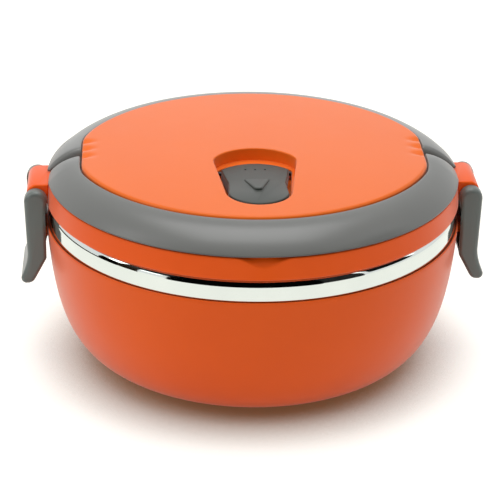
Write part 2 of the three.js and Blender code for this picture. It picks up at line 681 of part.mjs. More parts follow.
const gasketIn = locatingRadius + SEAT_GAP;
const gasketOut = grooveRadius - SEAT_GAP;
const gasket = revolve([
  at(gasketIn, gasketLow + GASKET_LIP),
  at(gasketIn + GASKET_LIP, gasketLow),
  at(gasketOut - GASKET_LIP, gasketLow),
  at(gasketOut, gasketLow + GASKET_LIP),
  at(gasketOut, gasketTop),
  at(gasketIn, gasketTop),
]);
add("lid_gasket", gasket, silicone);

// Vent flap: a plate with a hanging rim, a hinge barrel near its tail, scalloped grips and a thumb wedge.

const flapShape = (inset) =>
  ventShape(
    flapRear - inset,
    flapShoulder - inset,
    FLAP_SHOULDER_HALF - inset,
    flapNose + inset,
    FLAP_NOSE_HALF - inset,
  );

// The wedge rises from level at its rear to a rounded tip in front.
function thumbWedge() {
  const shape = new THREE.Shape();
  shape.moveTo(WEDGE_HALF, wedgeRear);
  shape.lineTo(-WEDGE_HALF, wedgeRear);
  const tipRound = WEDGE_TIP_RADIUS / 2;
  shape.lineTo(-WEDGE_TIP_RADIUS, wedgeTip + tipRound);
  shape.quadraticCurveTo(0, wedgeTip - tipRound, WEDGE_TIP_RADIUS, wedgeTip + tipRound);
  const slope = Math.atan2(WEDGE_RISE, wedgeRear - wedgeTip);
  const lid = new THREE.BoxGeometry(farOut, farOut, farOut).translate(0, 0, farOut / 2).rotateX(-slope);
  const body = raise(shape, flapUnder, flapTop + 2 * WEDGE_RISE, ARC_STEPS);
  return cut(body, solid(lid.translate(0, wedgeRear, flapTop)));
}

const tailBlock = box([-farOut, farOut], [ventPinY - VENT_BARREL - FLAP_RIM, farOut], [0, flapUnder]);
const gripCuts = sides.map((side) =>
  rodZ(GRIP_RADIUS, flapLow - 1, flapTop + 1, side * (GRIP_HALF + GRIP_RADIUS), gripY, 2 * PIN_FACETS),
);
const sealSocket = SEAL_NIPPLE_RADIUS + CHIMNEY_WALL + SEAT_GAP;
const flapBody = cut(
  raise(flapShape(0), flapLow, flapTop, 2 * ARC_STEPS),
  raise(flapShape(2 * FLAP_RIM), flapLow - 1, flapUnder, 2 * ARC_STEPS),
  tailBlock,
  ...gripCuts,
);
const flapMiddle = flapTop - FLAP_PLATE / 2;
const socketLow = flapUnder - SEAL_SOCKET_DEPTH;
const socketWall = rodZ(sealSocket + SEAL_SOCKET_WALL, socketLow, flapMiddle, 0, chimneyY);
const ventFlap = cut(
  join(
    flapBody,
    rodX(VENT_BARREL, -VENT_BARREL_HALF, VENT_BARREL_HALF, ventPinY, ventPinZ),
    socketWall,
    thumbWedge(),
  ),
  rodZ(sealSocket, flapLow - 1, flapUnder, 0, chimneyY),
  rodX(VENT_PIN_RADIUS + PIN_GAP, -farOut, farOut, ventPinY, ventPinZ),
);
add("vent_flap", ventFlap, flapGrey);
add("vent_pin", rodX(VENT_PIN_RADIUS, -ventPinHalf, ventPinHalf, ventPinY, ventPinZ), pinSteel);

const sealLow = chimneyTop + SEAT_GAP;
const ventSeal = join(
  rodZ(sealSocket - SEAT_GAP, sealLow, flapUnder - SEAT_GAP, 0, chimneyY),
  rodZ(SEAL_NIPPLE_RADIUS, sealLow - SEAL_NIPPLE_LENGTH, sealLow + SEAT_GAP, 0, chimneyY),
);
add("vent_seal", ventSeal, silicone);

// Clips: a lever with two cheeks round the ear, a hollow back with the catch hook, and a finger tab that
// kicks outward. Drawn about its pivot, with X outward.

const clipHalf = EAR_HALF + SEAT_GAP + CHEEK_WALL;
const pocketHalf = EAR_HALF + SEAT_GAP;

function clipSide() {
  const shape = new THREE.Shape();
  shape.absarc(0, 0, CHEEK_RADIUS, 0, Math.PI, false);
  shape.lineTo(-CLIP_INNER, -CHEEK_RADIUS);
  shape.lineTo(-CLIP_INNER, -CLIP_BEND);
  shape.lineTo(TAB_KICK - TAB_THICKNESS, TAB_ROUND - CLIP_LENGTH);
  shape.quadraticCurveTo(TAB_KICK - TAB_THICKNESS + 1, -CLIP_LENGTH, TAB_KICK - TAB_ROUND, -CLIP_LENGTH);
  shape.absarc(TAB_KICK - TAB_ROUND, TAB_ROUND - CLIP_LENGTH, TAB_ROUND, -Math.PI / 2, Math.PI / 6, false);
  shape.quadraticCurveTo(CLIP_OUTER, -CLIP_BEND - TAB_THICKNESS / 2, CLIP_OUTER, -CLIP_BEND + TAB_ROUND);
  shape.closePath();
  return shape;
}

const catchReach = bowlRadius + CATCH_REACH;
const hookTip = catchReach + HOOK_GAP - clipPivotX;
const hookTop = BOWL_HEIGHT - CATCH_DROP - CATCH_HEIGHT - SEAT_GAP - clipPivotZ;
const plateInside = CLIP_OUTER - CLIP_PLATE;
const acrossPocket = [-pocketHalf, pocketHalf];
const acrossCheeks = [CHEEK_WALL / 2 - clipHalf, clipHalf - CHEEK_WALL / 2];
const rimRelief = rodZ(bowlRadius + CLIP_CLEARANCE, -farOut, -CHEEK_RADIUS, -clipPivotX, 0, BOX_FACETS);
const clipBody = join(
  cut(
    drawAcross(clipSide(), clipHalf),
    box([-farOut, farOut], acrossPocket, [-CLIP_PLATE_TOP, farOut]),
    box([-farOut, plateInside], acrossPocket, [-POCKET_END, farOut]),
    rimRelief,
    rodY(CLIP_PIN_RADIUS + PIN_GAP, clipHalf - CHEEK_SKIN, 0, 0),
  ),
  box([hookTip, plateInside + CLIP_PLATE / 2], acrossCheeks, [hookTop - HOOK_HEIGHT, hookTop]),
);
const clipPin = rodY(CLIP_PIN_RADIUS, clipHalf - CHEEK_SKIN - SEAT_GAP, 0, 0);

[["right", 0], ["left", Math.PI]].forEach(([side, turn]) => {
  const end = new THREE.Group();
  end.rotation.z = turn;
  lunchBox.add(end);
  const pivot = new THREE.Vector3(clipPivotX, 0, clipPivotZ);
  add("clip_" + side, clipBody, clipGrey, end).position.copy(pivot);
  add("clip_pin_" + side, clipPin, pinSteel, end).position.copy(pivot);
});

export default lunchBox;
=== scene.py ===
"""A round insulated lunch box: moulded bowl, pressed steel liner, clip-down lid, carry handle and vent."""

import bmesh
import bpy
import math
from mathutils import Matrix, Vector, geometry


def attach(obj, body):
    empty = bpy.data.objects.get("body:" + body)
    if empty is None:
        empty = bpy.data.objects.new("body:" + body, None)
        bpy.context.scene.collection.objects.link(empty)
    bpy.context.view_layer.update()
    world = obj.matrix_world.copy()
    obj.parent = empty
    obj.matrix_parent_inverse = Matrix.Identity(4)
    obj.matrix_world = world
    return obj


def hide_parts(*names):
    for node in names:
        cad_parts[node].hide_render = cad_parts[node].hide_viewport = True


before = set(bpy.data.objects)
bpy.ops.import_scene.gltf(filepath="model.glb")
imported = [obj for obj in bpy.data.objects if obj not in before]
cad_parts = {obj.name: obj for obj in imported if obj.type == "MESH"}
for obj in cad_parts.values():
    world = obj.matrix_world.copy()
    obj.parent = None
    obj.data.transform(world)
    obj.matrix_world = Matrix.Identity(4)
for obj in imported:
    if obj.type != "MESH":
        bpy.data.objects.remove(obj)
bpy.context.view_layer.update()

# Outer bowl: the orange shell that the box stands on. One moulding in polypropylene, drawn in to a foot ring,
# with a thin lip that takes the steel band and a catch for each clip.

MM = 0.001
BOX_STEPS = 288  # round the whole box
WELD = 0.001  # points nearer than this become one
NEAR = 0.01  # places nearer than this count as one
CREASE = math.radians(32)  # a sharper edge isn't shaded smooth
MIX_FIRST, MIX_SECOND, MIX_RESULT = 6, 7, 2  # a colour mix's sockets, whose names are shared by other kinds

RIM_RADIUS = 77.6
RIM_HEIGHT = 55.5
RIM_ROUND = 0.34
REBATE_RADIUS = 76.9
REBATE_FLOOR = 52.5
BOWL_WALL = 2.2
BELLY_LOW = (70.8, 2.8)  # what the belly's curve leans towards
BELLY_HIGH = (75.6, 24)
FOOT_RADIUS = 50
FOOT_WIDTH = 4
FOOT_HEIGHT = 2.8
FOOT_ROUND = 1.1
CATCH_ROOT = 76.95
CATCH_REACH = 80.2
CATCH_TOP = 53.5
CATCH_HEIGHT = 4
CATCH_HALF = 6
CATCH_ROUND = 0.4


def arc(x, z, radius, start, end, steps):
    """Points of a round bend between two angles, in degrees."""
    turns = [math.radians(start + (end - start) * i / steps) for i in range(steps + 1)]
    return [(x + radius * math.cos(a), z + radius * math.sin(a)) for a in turns]


def curve(start, near_start, near_end, end, steps):
    """Points of a cubic curve."""
    knots = [Vector(p) for p in (start, near_start, near_end, end)]
    return [(p.x, p.y) for p in geometry.interpolate_bezier(*knots, steps + 1)]


def beside(points, distance):
    """A line of points moved square to itself, to the left where the distance is positive."""
    moved = []
    for i, (x, z) in enumerate(points):
        before = Vector(points[max(i - 1, 0)])
        along = (Vector(points[min(i + 1, len(points) - 1)]) - before).normalized()
        moved.append((x - along.y * distance, z + along.x * distance))
    return moved


def spun(profile, steps=BOX_STEPS, closed=False):
    """A profile of radius and height turned once round the Z axis."""
    bm = bmesh.new()
    verts = [bm.verts.new((x, 0, z)) for x, z in profile]
    edges = [bm.edges.new(pair) for pair in zip(verts, verts[1:])]
    if closed:
        edges.append(bm.edges.new((verts[-1], verts[0])))
    bmesh.ops.spin(bm, geom=verts + edges, axis=(0, 0, 1), angle=math.tau, steps=steps, use_merge=True)
    bmesh.ops.remove_doubles(bm, verts=bm.verts, dist=WELD)
    bmesh.ops.recalc_face_normals(bm, faces=bm.faces)
    return bm


def drawn_across(outline, half):
    """An outline in X and Z, drawn out to both sides of the XZ plane."""
    bm = bmesh.new()
    face = bm.faces.new([bm.verts.new((x, -half, z)) for x, z in outline])
    drawn = bmesh.ops.extrude_face_region(bm, geom=[face])["geom"]
    far = [v for v in drawn if isinstance(v, bmesh.types.BMVert)]
    bmesh.ops.translate(bm, verts=far, vec=(0, 2 * half, 0))
    bmesh.ops.recalc_face_normals(bm, faces=bm.faces)
    return bm


def soften(bm, width, steps, chosen):
    """Rounds the chosen edges."""
    bmesh.ops.bevel(
        bm,
        geom=[e for e in bm.edges if chosen(e)],
        offset=width,
        segments=steps,
        profile=0.5,
        affect="EDGES",
        material=-1,
        clamp_overlap=True,
    )


def combine(target, tool, operation):
    """Joins or cuts one shape by another."""
    helpers = []
    for bm in (target, tool):
        mesh = bpy.data.meshes.new("helper")
        bm.to_mesh(mesh)
        bm.free()
        helpers.append(bpy.data.objects.new("helper", mesh))
        bpy.context.collection.objects.link(helpers[-1])
    modifier = helpers[0].modifiers.new("combine", "BOOLEAN")
    modifier.operation = operation
    modifier.solver = "EXACT"
    modifier.object = helpers[1]
    result = bmesh.new()
    result.from_object(helpers[0], bpy.context.evaluated_depsgraph_get())
    for helper in helpers:
        mesh = helper.data
        bpy.data.objects.remove(helper)
        bpy.data.meshes.remove(mesh)
    return result


def mirrored(bm):
    """The same shape at the other end of X."""
    bmesh.ops.scale(bm, verts=bm.verts, vec=(-1, 1, 1))
    bmesh.ops.recalc_face_normals(bm, faces=bm.faces)
    return bm


def finish_piece(bm, name, material, body, cad_node):
    """Turns a shape in millimetres into a piece in metres, which replaces a CAD node and rides on its body."""
    bmesh.ops.remove_doubles(bm, verts=bm.verts, dist=WELD / 2)
    bmesh.ops.scale(bm, verts=bm.verts, vec=(MM, MM, MM))
    mesh = bpy.data.meshes.new(name)
    bm.to_mesh(mesh)
    bm.free()
    mesh.shade_smooth()
    mesh.set_sharp_from_angle(angle=CREASE)
    mesh.materials.append(material)
    piece = bpy.data.objects.new(name, mesh)
    bpy.context.collection.objects.link(piece)
    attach(piece, body)
    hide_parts(cad_node)
    return piece


def linear(colour):
    """An sRGB hex colour as linear RGBA."""
    parts = [int(colour[i:i + 2], 16) / 255 for i in (1, 3, 5)]
    return *(c / 12.92 if c <= 0.04045 else ((c + 0.055) / 1.055) ** 2.4 for c in parts), 1


def node(tree, kind, inputs, **settings):
    """Adds a node with its settings. Each input is a value or another node's output."""
    made = tree.nodes.new(kind)
    for name, value in settings.items():
        setattr(made, name, value)
    for socket, value in inputs.items():
        if isinstance(value, bpy.types.NodeSocket):
            tree.links.new(value, made.inputs[socket])
        else:
            made.inputs[socket].default_value = value
    return made


def blank_material(name):
    """A new material and its empty node tree."""
    material = bpy.data.materials.new(name)
    material.use_nodes = True
    material.node_tree.nodes.clear()
    return material, material.node_tree


def moulded_polypropylene(name, colour, shade, roughness, gleam=0.25):
    """Satin moulded plastic: an even colour that clouds a little where the melt flowed, a fine grain from the
    eroded mould that breaks up highlights, and a low gloss that varies slowly with handling."""
    cloud_size = 38 * MM
    gloss_size = 9 * MM
    gloss_swing = 0.03
    grain_size = 0.5 * MM  # really about 0.05 mm, drawn coarser so that it shows
    grain_depth = 0.03 * MM
    material, tree = blank_material(name)
    place = node(tree, "ShaderNodeTexCoord", {}).outputs["Object"]
    clouds = node(tree, "ShaderNodeTexNoise", {"Vector": place, "Scale": 1 / cloud_size, "Detail": 3})
    tone = node(
        tree,
        "ShaderNodeMix",
        {"Factor": clouds.outputs["Fac"], MIX_FIRST: linear(shade), MIX_SECOND: linear(colour)},
        data_type="RGBA",
    )
    handling = node(tree, "ShaderNodeTexNoise", {"Vector": place, "Scale": 1 / gloss_size, "Detail": 2})
    gloss = node(
        tree,
        "ShaderNodeMapRange",
        {
            "Value": handling.outputs["Fac"],
            "To Min": roughness - gloss_swing,
            "To Max": roughness + gloss_swing,
        },
    )
    grain = node(tree, "ShaderNodeTexNoise", {"Vector": place, "Scale": 1 / grain_size, "Detail": 2})
    relief = node(
        tree, "ShaderNodeBump", {"Height": grain.outputs["Fac"], "Strength": 0.03, "Distance": grain_depth}
    )
    shader = node(
        tree,
        "ShaderNodeBsdfPrincipled",
        {
            "Base Color": tone.outputs[MIX_RESULT],
            "Roughness": gloss.outputs["Result"],
            "Normal": relief.outputs["Normal"],
            "IOR": 1.49,
            "Specular IOR Level": gleam,
            "Sheen Weight": 0.3,
            "Sheen Roughness": 0.35,
        },
    )
    node(tree, "ShaderNodeOutputMaterial", {"Surface": shader.outputs["BSDF"]})
    return material


belly_top = (RIM_RADIUS, RIM_HEIGHT - RIM_ROUND)
belly = curve((FOOT_RADIUS, FOOT_HEIGHT), BELLY_LOW, BELLY_HIGH, belly_top, steps=56)
belly_inside = [p for p in beside(belly, BOWL_WALL) if p[1] < REBATE_FLOOR]
foot_inside = FOOT_RADIUS - FOOT_WIDTH
bowl = spun(
    [
        (0, FOOT_HEIGHT),
        (foot_inside, FOOT_HEIGHT),
        *arc(foot_inside + FOOT_ROUND, FOOT_ROUND, FOOT_ROUND, 180, 270, steps=6),
        *arc(FOOT_RADIUS - FOOT_ROUND, FOOT_ROUND, FOOT_ROUND, 270, 360, steps=6),
        *belly,
        *arc(RIM_RADIUS - RIM_ROUND, RIM_HEIGHT - RIM_ROUND, RIM_ROUND, 0, 180, steps=8)[1:],
        (REBATE_RADIUS, REBATE_FLOOR),
        (belly_inside[-1][0], REBATE_FLOOR),
        *reversed(belly_inside),
        (0, FOOT_HEIGHT + BOWL_WALL),
    ]
)
for side in (1, -1):
    lug = drawn_across(
        [
            (CATCH_ROOT, CATCH_TOP - CATCH_HEIGHT),
            (CATCH_REACH, CATCH_TOP - CATCH_HEIGHT),
            (CATCH_REACH, CATCH_TOP - CATCH_HEIGHT / 2),
            (RIM_RADIUS, CATCH_TOP),
            (CATCH_ROOT, CATCH_TOP),
        ],
        CATCH_HALF,
    )
    soften(lug, CATCH_ROUND, 3, lambda e: all(v.co.x > CATCH_REACH - NEAR for v in e.verts))
    bowl = combine(bowl, lug if side > 0 else mirrored(lug), "UNION")
bowl_plastic = moulded_polypropylene("moulded_polypropylene_bowl", "#f25f04", "#e95702", 0.36)
finish_piece(bowl, "bowl", bowl_plastic, "base", "outer_bowl")

# Steel liner: the food bowl. One pressing in stainless steel whose rim turns out flat under the lid's gasket
# and hangs down outside as the bright band, with its cut edge in the groove of the bowl's rim.

STEEL = 0.7
BAND_RADIUS = 76.6
BAND_LOW = 52.8
LINER_RIM = 64.2
SHOULDER = 3.6
MOUTH_RADIUS = 68.6
MOUTH_BEND = 1.2
LINER_FLOOR = 7
FLOOR_RADIUS = 42
WALL_LOW = (63, 7)  # what the wall's curve leans towards
WALL_HIGH = (66.6, 26)


def polished_steel(name, colour, shade, roughness):
    """Polished stainless steel: a clear mirror with the faint rings that the polishing wheel leaves round it,
    and smears that dull it in places."""
    ring_pitch = 0.8 * MM
    ring_stretch = 25  # draws the noise out round the piece
    ring_depth = 0.02 * MM
    smear_size = 14 * MM
    smear_dulling = 0.04
    material, tree = blank_material(name)
    place = node(tree, "ShaderNodeTexCoord", {}).outputs["Object"]
    flat = node(
        tree, "ShaderNodeMapping", {"Vector": place, "Scale": (1 / ring_stretch, 1 / ring_stretch, 1)}
    )
    rings = node(
        tree, "ShaderNodeTexNoise", {"Vector": flat.outputs["Vector"], "Scale": 1 / ring_pitch, "Detail": 2}
    )
    smears = node(tree, "ShaderNodeTexNoise", {"Vector": place, "Scale": 1 / smear_size, "Detail": 3})
    tone = node(
        tree,
        "ShaderNodeMix",
        {"Factor": smears.outputs["Fac"], MIX_FIRST: linear(shade), MIX_SECOND: linear(colour)},
        data_type="RGBA",
    )
    gloss = node(
        tree,
        "ShaderNodeMapRange",
        {"Value": smears.outputs["Fac"], "To Min": roughness, "To Max": roughness + smear_dulling},
    )
    relief = node(
        tree, "ShaderNodeBump", {"Height": rings.outputs["Fac"], "Strength": 0.05, "Distance": ring_depth}
    )
    shader = node(
        tree,
        "ShaderNodeBsdfPrincipled",
        {
            "Base Color": tone.outputs[MIX_RESULT],
            "Metallic": 1,
            "Roughness": gloss.outputs["Result"],
            "Normal": relief.outputs["Normal"],
        },
    )
    node(tree, "ShaderNodeOutputMaterial", {"Surface": shader.outputs["BSDF"]})
    return material


wall_top = (MOUTH_RADIUS, LINER_RIM - MOUTH_BEND)
liner_wall = curve((FLOOR_RADIUS, LINER_FLOOR), WALL_LOW, WALL_HIGH, wall_top, steps=48)
shoulder_place = (BAND_RADIUS - SHOULDER, LINER_RIM - SHOULDER)
mouth_place = (MOUTH_RADIUS + MOUTH_BEND, LINER_RIM - MOUTH_BEND)
liner = spun(
    [
        (0, LINER_FLOOR - STEEL),
        *beside(liner_wall, -STEEL),
        *arc(*mouth_place, MOUTH_BEND - STEEL, 180, 90, steps=4)[1:],
        *arc(*shoulder_place, SHOULDER - STEEL, 90, 0, steps=10),
        (BAND_RADIUS - STEEL, BAND_LOW),
        (BAND_RADIUS, BAND_LOW),
        *arc(*shoulder_place, SHOULDER, 0, 90, steps=16),
        *arc(*mouth_place, MOUTH_BEND, 90, 180, steps=6),
        *reversed(liner_wall[:-1]),
        (0, LINER_FLOOR),
    ]
)
liner_steel = polished_steel("polished_stainless_steel", "#dce2de", "#d1d7d4", 0.04)
finish_piece(liner, "liner", liner_steel, "base", "steel_liner")

# Lid shell: skirt, handle channel and the two clip ears in one orange polypropylene moulding.
# A finger notch dips into the skirt's top edge in front, under the handle.

SKIRT_RADIUS = 77.3
SKIRT_TOP_RADIUS = 76.6
SKIRT_LOW = 63.9
SKIRT_INSIDE = 75.2
SKIRT_ROUND = 0.5
DECK = 72
DECK_UNDER = 70.2
DECK_OPENING = 55
LID_STEPS = 360  # finer than the rest of the box, for the notch
NOTCH_HALF = 10.2
NOTCH_DROP = 3.8
NOTCH_BACKING = 1.3  # how far the wall behind it is lowered
NOTCH_INNER = 73.6
NOTCH_OUTER = 76.9
NOTCH_ROW = 0.2  # between the rows of points that bend to it
NOTCH_ROWS = 19
EAR_ROOT = 76.2
EAR_HALF = 9.75
EAR_LOW = 64.2
EAR_TOP = 71.8
EAR_KNUCKLE = 3.4
EAR_ROUND = 4
EAR_EDGE = 0.7
CLIP_PIVOT = (81, 66.4)


def spread(start, end, count):
    """Points along a straight line, without its ends."""
    return [tuple(Vector(start).lerp(Vector(end), i / (count + 1))) for i in range(1, count + 1)]


def smooth_step(x):
    """Eases from nought to one as x does."""
    x = min(max(x, 0), 1)
    return x * x * (3 - 2 * x)


def sink_notch(bm):
    """Scoops the front of the skirt's top edge, deepest in the middle and with soft shoulders."""
    wall_low = SKIRT_LOW + SKIRT_ROUND
    for v in bm.verts:
        radius = v.co.xy.length
        if v.co.y > 0 or abs(v.co.x) > NOTCH_HALF or v.co.z < wall_low:
            continue
        bell = 0.5 + 0.5 * math.cos(math.pi * v.co.x / NOTCH_HALF)
        scoop = min(max((radius - NOTCH_INNER) / (NOTCH_OUTER - NOTCH_INNER), 0), 1)
        if v.co.z > DECK_UNDER + NEAR or radius > SKIRT_INSIDE + NEAR:
            v.co.z -= NOTCH_DROP * bell * scoop * (v.co.z - wall_low) / (DECK - wall_low)
        elif radius > SKIRT_INSIDE - NEAR:
            v.co.z -= NOTCH_BACKING * bell


def on_one_side(edge):
    """Whether an edge lies on a side of a shape that is drawn across."""
    return edge.verts[0].co.y == edge.verts[1].co.y


skirt_low_place = (SKIRT_RADIUS - SKIRT_ROUND, SKIRT_LOW + SKIRT_ROUND)
skirt_top_place = (SKIRT_TOP_RADIUS - SKIRT_ROUND, DECK - SKIRT_ROUND)
shell = spun(
    [
        (SKIRT_INSIDE, SKIRT_LOW),
        *arc(*skirt_low_place, SKIRT_ROUND, -90, 0, steps=5),
        *spread((SKIRT_RADIUS, skirt_low_place[1]), (SKIRT_TOP_RADIUS, skirt_top_place[1]), count=9),
        *arc(*skirt_top_place, SKIRT_ROUND, 0, 90, steps=6),
        *((skirt_top_place[0] - NOTCH_ROW * i, DECK) for i in range(1, NOTCH_ROWS + 1)),
        (DECK_OPENING, DECK),
        (DECK_OPENING, DECK_UNDER),
        (SKIRT_INSIDE, DECK_UNDER),
    ],
    steps=LID_STEPS,
    closed=True,
)
sink_notch(shell)
ear_outside = CLIP_PIVOT[0] + EAR_KNUCKLE
for side in (1, -1):
    ear = drawn_across(
        [
            (EAR_ROOT, EAR_LOW),
            *arc(*CLIP_PIVOT, EAR_KNUCKLE, -90, 0, steps=8),
            *arc(ear_outside - EAR_ROUND, EAR_TOP - EAR_ROUND, EAR_ROUND, 0, 90, steps=12),
            (EAR_ROOT, EAR_TOP),
        ],
        EAR_HALF,
    )
    soften(ear, EAR_EDGE, 4, on_one_side)
    shell = combine(shell, ear if side > 0 else mirrored(ear), "UNION")
lid_plastic = moulded_polypropylene("moulded_polypropylene_lid", "#f85f06", "#f25803", 0.38)
finish_piece(shell, "lid_ring", lid_plastic, "lid", "lid_shell")

# Inner lid: the orange polypropylene tray under the lid, snapped into the skirt. Its wall guides the lid into
# the liner's mouth, its groove holds the gasket, and its chimney leads steam up to the vent.

LOCATING_RADIUS = 68.2
LOCATING_WALL = 2
LOCATING_LOW = 60.5
PLATE_LOW = 68.3
PLATE_TOP = 69.9
GROOVE_RADIUS = 73.2
GROOVE_LOW = 64.5
TRAY_RADIUS = 74.9
TRAY_ROUND = 0.5
CHIMNEY_Y = -31
CHIMNEY_BORE = 2.4
CHIMNEY_RADIUS = 4.3
CHIMNEY_TOP = 74.3
CHIMNEY_ROUND = 0.4
ROD_STEPS = 64
OVERSHOOT = 1  # how far a cutter runs past what it cuts


def rod(radius, low, high, y=0, steps=ROD_STEPS):
    """An upright round bar."""
    bm = spun([(0, low), (radius, low), (radius, high), (0, high)], steps)
    bmesh.ops.translate(bm, verts=bm.verts, vec=(0, y, 0))
    return bm


def at_chimney_mouth(edge):
    """Whether an edge runs round the chimney's top."""
    ends = [(math.dist(v.co.xy, (0, CHIMNEY_Y)), v.co.z) for v in edge.verts]
    return all(radius > CHIMNEY_RADIUS - NEAR and z > CHIMNEY_TOP - NEAR for radius, z in ends)


locating_inside = LOCATING_RADIUS - LOCATING_WALL
tray = spun(
    [
        (0, PLATE_LOW),
        (locating_inside, PLATE_LOW),
        *arc(locating_inside + TRAY_ROUND, LOCATING_LOW + TRAY_ROUND, TRAY_ROUND, 180, 270, steps=4),
        *arc(LOCATING_RADIUS - TRAY_ROUND, LOCATING_LOW + TRAY_ROUND, TRAY_ROUND, 270, 360, steps=4),
        (LOCATING_RADIUS, PLATE_LOW),
        (GROOVE_RADIUS, PLATE_LOW),
        (GROOVE_RADIUS, GROOVE_LOW),
        *arc(TRAY_RADIUS - TRAY_ROUND, GROOVE_LOW + TRAY_ROUND, TRAY_ROUND, 270, 360, steps=4),
        (TRAY_RADIUS, PLATE_TOP),
        (0, PLATE_TOP),
    ]
)
chimney = rod(CHIMNEY_RADIUS, (PLATE_LOW + PLATE_TOP) / 2, CHIMNEY_TOP, CHIMNEY_Y)
soften(chimney, CHIMNEY_ROUND, 3, at_chimney_mouth)
tray = combine(tray, chimney, "UNION")
bore = rod(CHIMNEY_BORE, PLATE_LOW - OVERSHOOT, CHIMNEY_TOP + OVERSHOOT, CHIMNEY_Y)
tray = combine(tray, bore, "DIFFERENCE")
inner_plastic = moulded_polypropylene("moulded_polypropylene_inner_lid", "#ee5c10", "#e6550a", 0.4)
finish_piece(tray, "inner_tray", inner_plastic, "lid", "inner_lid")

# Gasket: a silicone ring pressed into the inner lid's groove, with a rounded sealing face that meets the
# liner's flat rim. It is moulded in one piece and pulls out for washing.

GASKET_IN = 68.5
GASKET_OUT = 72.9
GASKET_LOW = 64.5
GASKET_TOP = 68
GASKET_LIP = 0.9


def moulded_silicone(name, colour, shade):
    """Translucent white silicone rubber: soft and dull, with light that glows a little way into it."""
    bloom_size = 5 * MM
    skin_size = 0.4 * MM
    skin_depth = 0.03 * MM
    glow_depth = 1.5 * MM
    material, tree = blank_material(name)
    place = node(tree, "ShaderNodeTexCoord", {}).outputs["Object"]
    bloom = node(tree, "ShaderNodeTexNoise", {"Vector": place, "Scale": 1 / bloom_size, "Detail": 3})
    tone = node(
        tree,
        "ShaderNodeMix",
        {"Factor": bloom.outputs["Fac"], MIX_FIRST: linear(shade), MIX_SECOND: linear(colour)},
        data_type="RGBA",
    )
    gloss = node(tree, "ShaderNodeMapRange", {"Value": bloom.outputs["Fac"], "To Min": 0.5, "To Max": 0.65})
    skin = node(tree, "ShaderNodeTexNoise", {"Vector": place, "Scale": 1 / skin_size, "Detail": 1})
    relief = node(
        tree, "ShaderNodeBump", {"Height": skin.outputs["Fac"], "Strength": 0.1, "Distance": skin_depth}
    )
    shader = node(
        tree,
        "ShaderNodeBsdfPrincipled",
        {
            "Base Color": tone.outputs[MIX_RESULT],
            "Roughness": gloss.outputs["Result"],
            "Normal": relief.outputs["Normal"],
            "IOR": 1.41,
            "Subsurface Weight": 0.25,
            "Subsurface Radius": (1, 0.9, 0.8),
            "Subsurface Scale": glow_depth,
        },
    )
    node(tree, "ShaderNodeOutputMaterial", {"Surface": shader.outputs["BSDF"]})
    return material


gasket = spun(
    [
        (GASKET_IN, GASKET_TOP),
        *arc(GASKET_IN + GASKET_LIP, GASKET_LOW + GASKET_LIP, GASKET_LIP, 180, 270, steps=6),
        *arc(GASKET_OUT - GASKET_LIP, GASKET_LOW + GASKET_LIP, GASKET_LIP, 270, 360, steps=6),
        (GASKET_OUT, GASKET_TOP),
    ],
    closed=True,
)
silicone = moulded_silicone("moulded_silicone_white", "#e9e7e2", "#dcd9d2")
finish_piece(gasket, "gasket_ring", silicone, "lid", "lid_gasket")

# Top panel: the orange cover of the lid, moulded in polypropylene and welded to the deck inside the handle. Two
# wide arcs with straight ends beside the handle's pivots, a low crown, finger ripples at each end and a recess
# for the vent flap.

PANEL_HALF_WIDTH = 63.8
PANEL_FLAT_HALF = 15
PANEL_HALF_DEPTH = 61.2
PANEL_LOW = 72.3
PANEL_EDGE = 81
PANEL_ROUND = 1.2
PANEL_CROWN = 1.2
PANEL_WALL = 2
PANEL_EASE_REACH = 6
PANEL_EASE_ROUNDS = 10
CORNER_BLEND = 2
LEAST_COSINE = 0.001
EDGE_ROW = 0.018  # share of the panel between rows of its top's mesh, close together where the ripples lie
EDGE_ROWS = 9
MIDDLE_START = 0.8
MIDDLE_ROW = 0.06
MIDDLE_ROWS = 13
RIPPLE_DEPTH = 1.1
RIPPLE_LENGTH = 6.5
RIPPLE_PITCH = 7
RIPPLE_CENTRE = 3
RIPPLE_HALF_SPAN = 10.5
VENT_EASE_REACH = 4
LEDGE = 77.5
RECESS_LIP = 0.5
RECESS_LIP_END = 105  # degrees, where its bend runs out into the top
RECESS_FLARE = 0.2
POCKET_LIP = ((0, -0.3), (0.1, -0.1), (0.4, 0.1))  # growth and height over the ledge
TUB_WALL = 1.6
TUB_FLOOR = 73.5
SEAT_GAP = 0.3

panel_rise = PANEL_HALF_DEPTH - PANEL_FLAT_HALF
panel_centre = (PANEL_HALF_DEPTH**2 - PANEL_HALF_WIDTH**2 - PANEL_FLAT_HALF**2) / (2 * panel_rise)
panel_radius = PANEL_HALF_DEPTH - panel_centre


def ease_corners(points, corners, reach, rounds):
    """Rounds an outline near its corners, by drawing each point there towards its neighbours."""
    near = [any(math.dist(p, c) < reach for c in corners) for p in points]
    for _ in range(rounds):
        around = zip(points[-1:] + points[:-1], points, points[1:] + points[:1], near)
        points = [
            tuple((Vector(a) + 2 * Vector(b) + Vector(c)) / 4) if close else b for a, b, c, close in around
        ]
    return points


def panel_outline(grow):
    """The panel seen from above."""
    radius = panel_radius + grow
    corner = math.degrees(math.acos((PANEL_HALF_WIDTH + grow) / radius))
    rear = arc(0, panel_centre, radius, corner, 180 - corner, steps=88)
    front = arc(0, -panel_centre, radius, 180 + corner, 360 - corner, steps=88)
    outline = rear + spread(rear[-1], front[0], count=27) + front + spread(front[-1], rear[0], count=27)
    corners = (rear[0], rear[-1], front[0], front[-1])
    return ease_corners(outline, corners, PANEL_EASE_REACH, PANEL_EASE_ROUNDS)


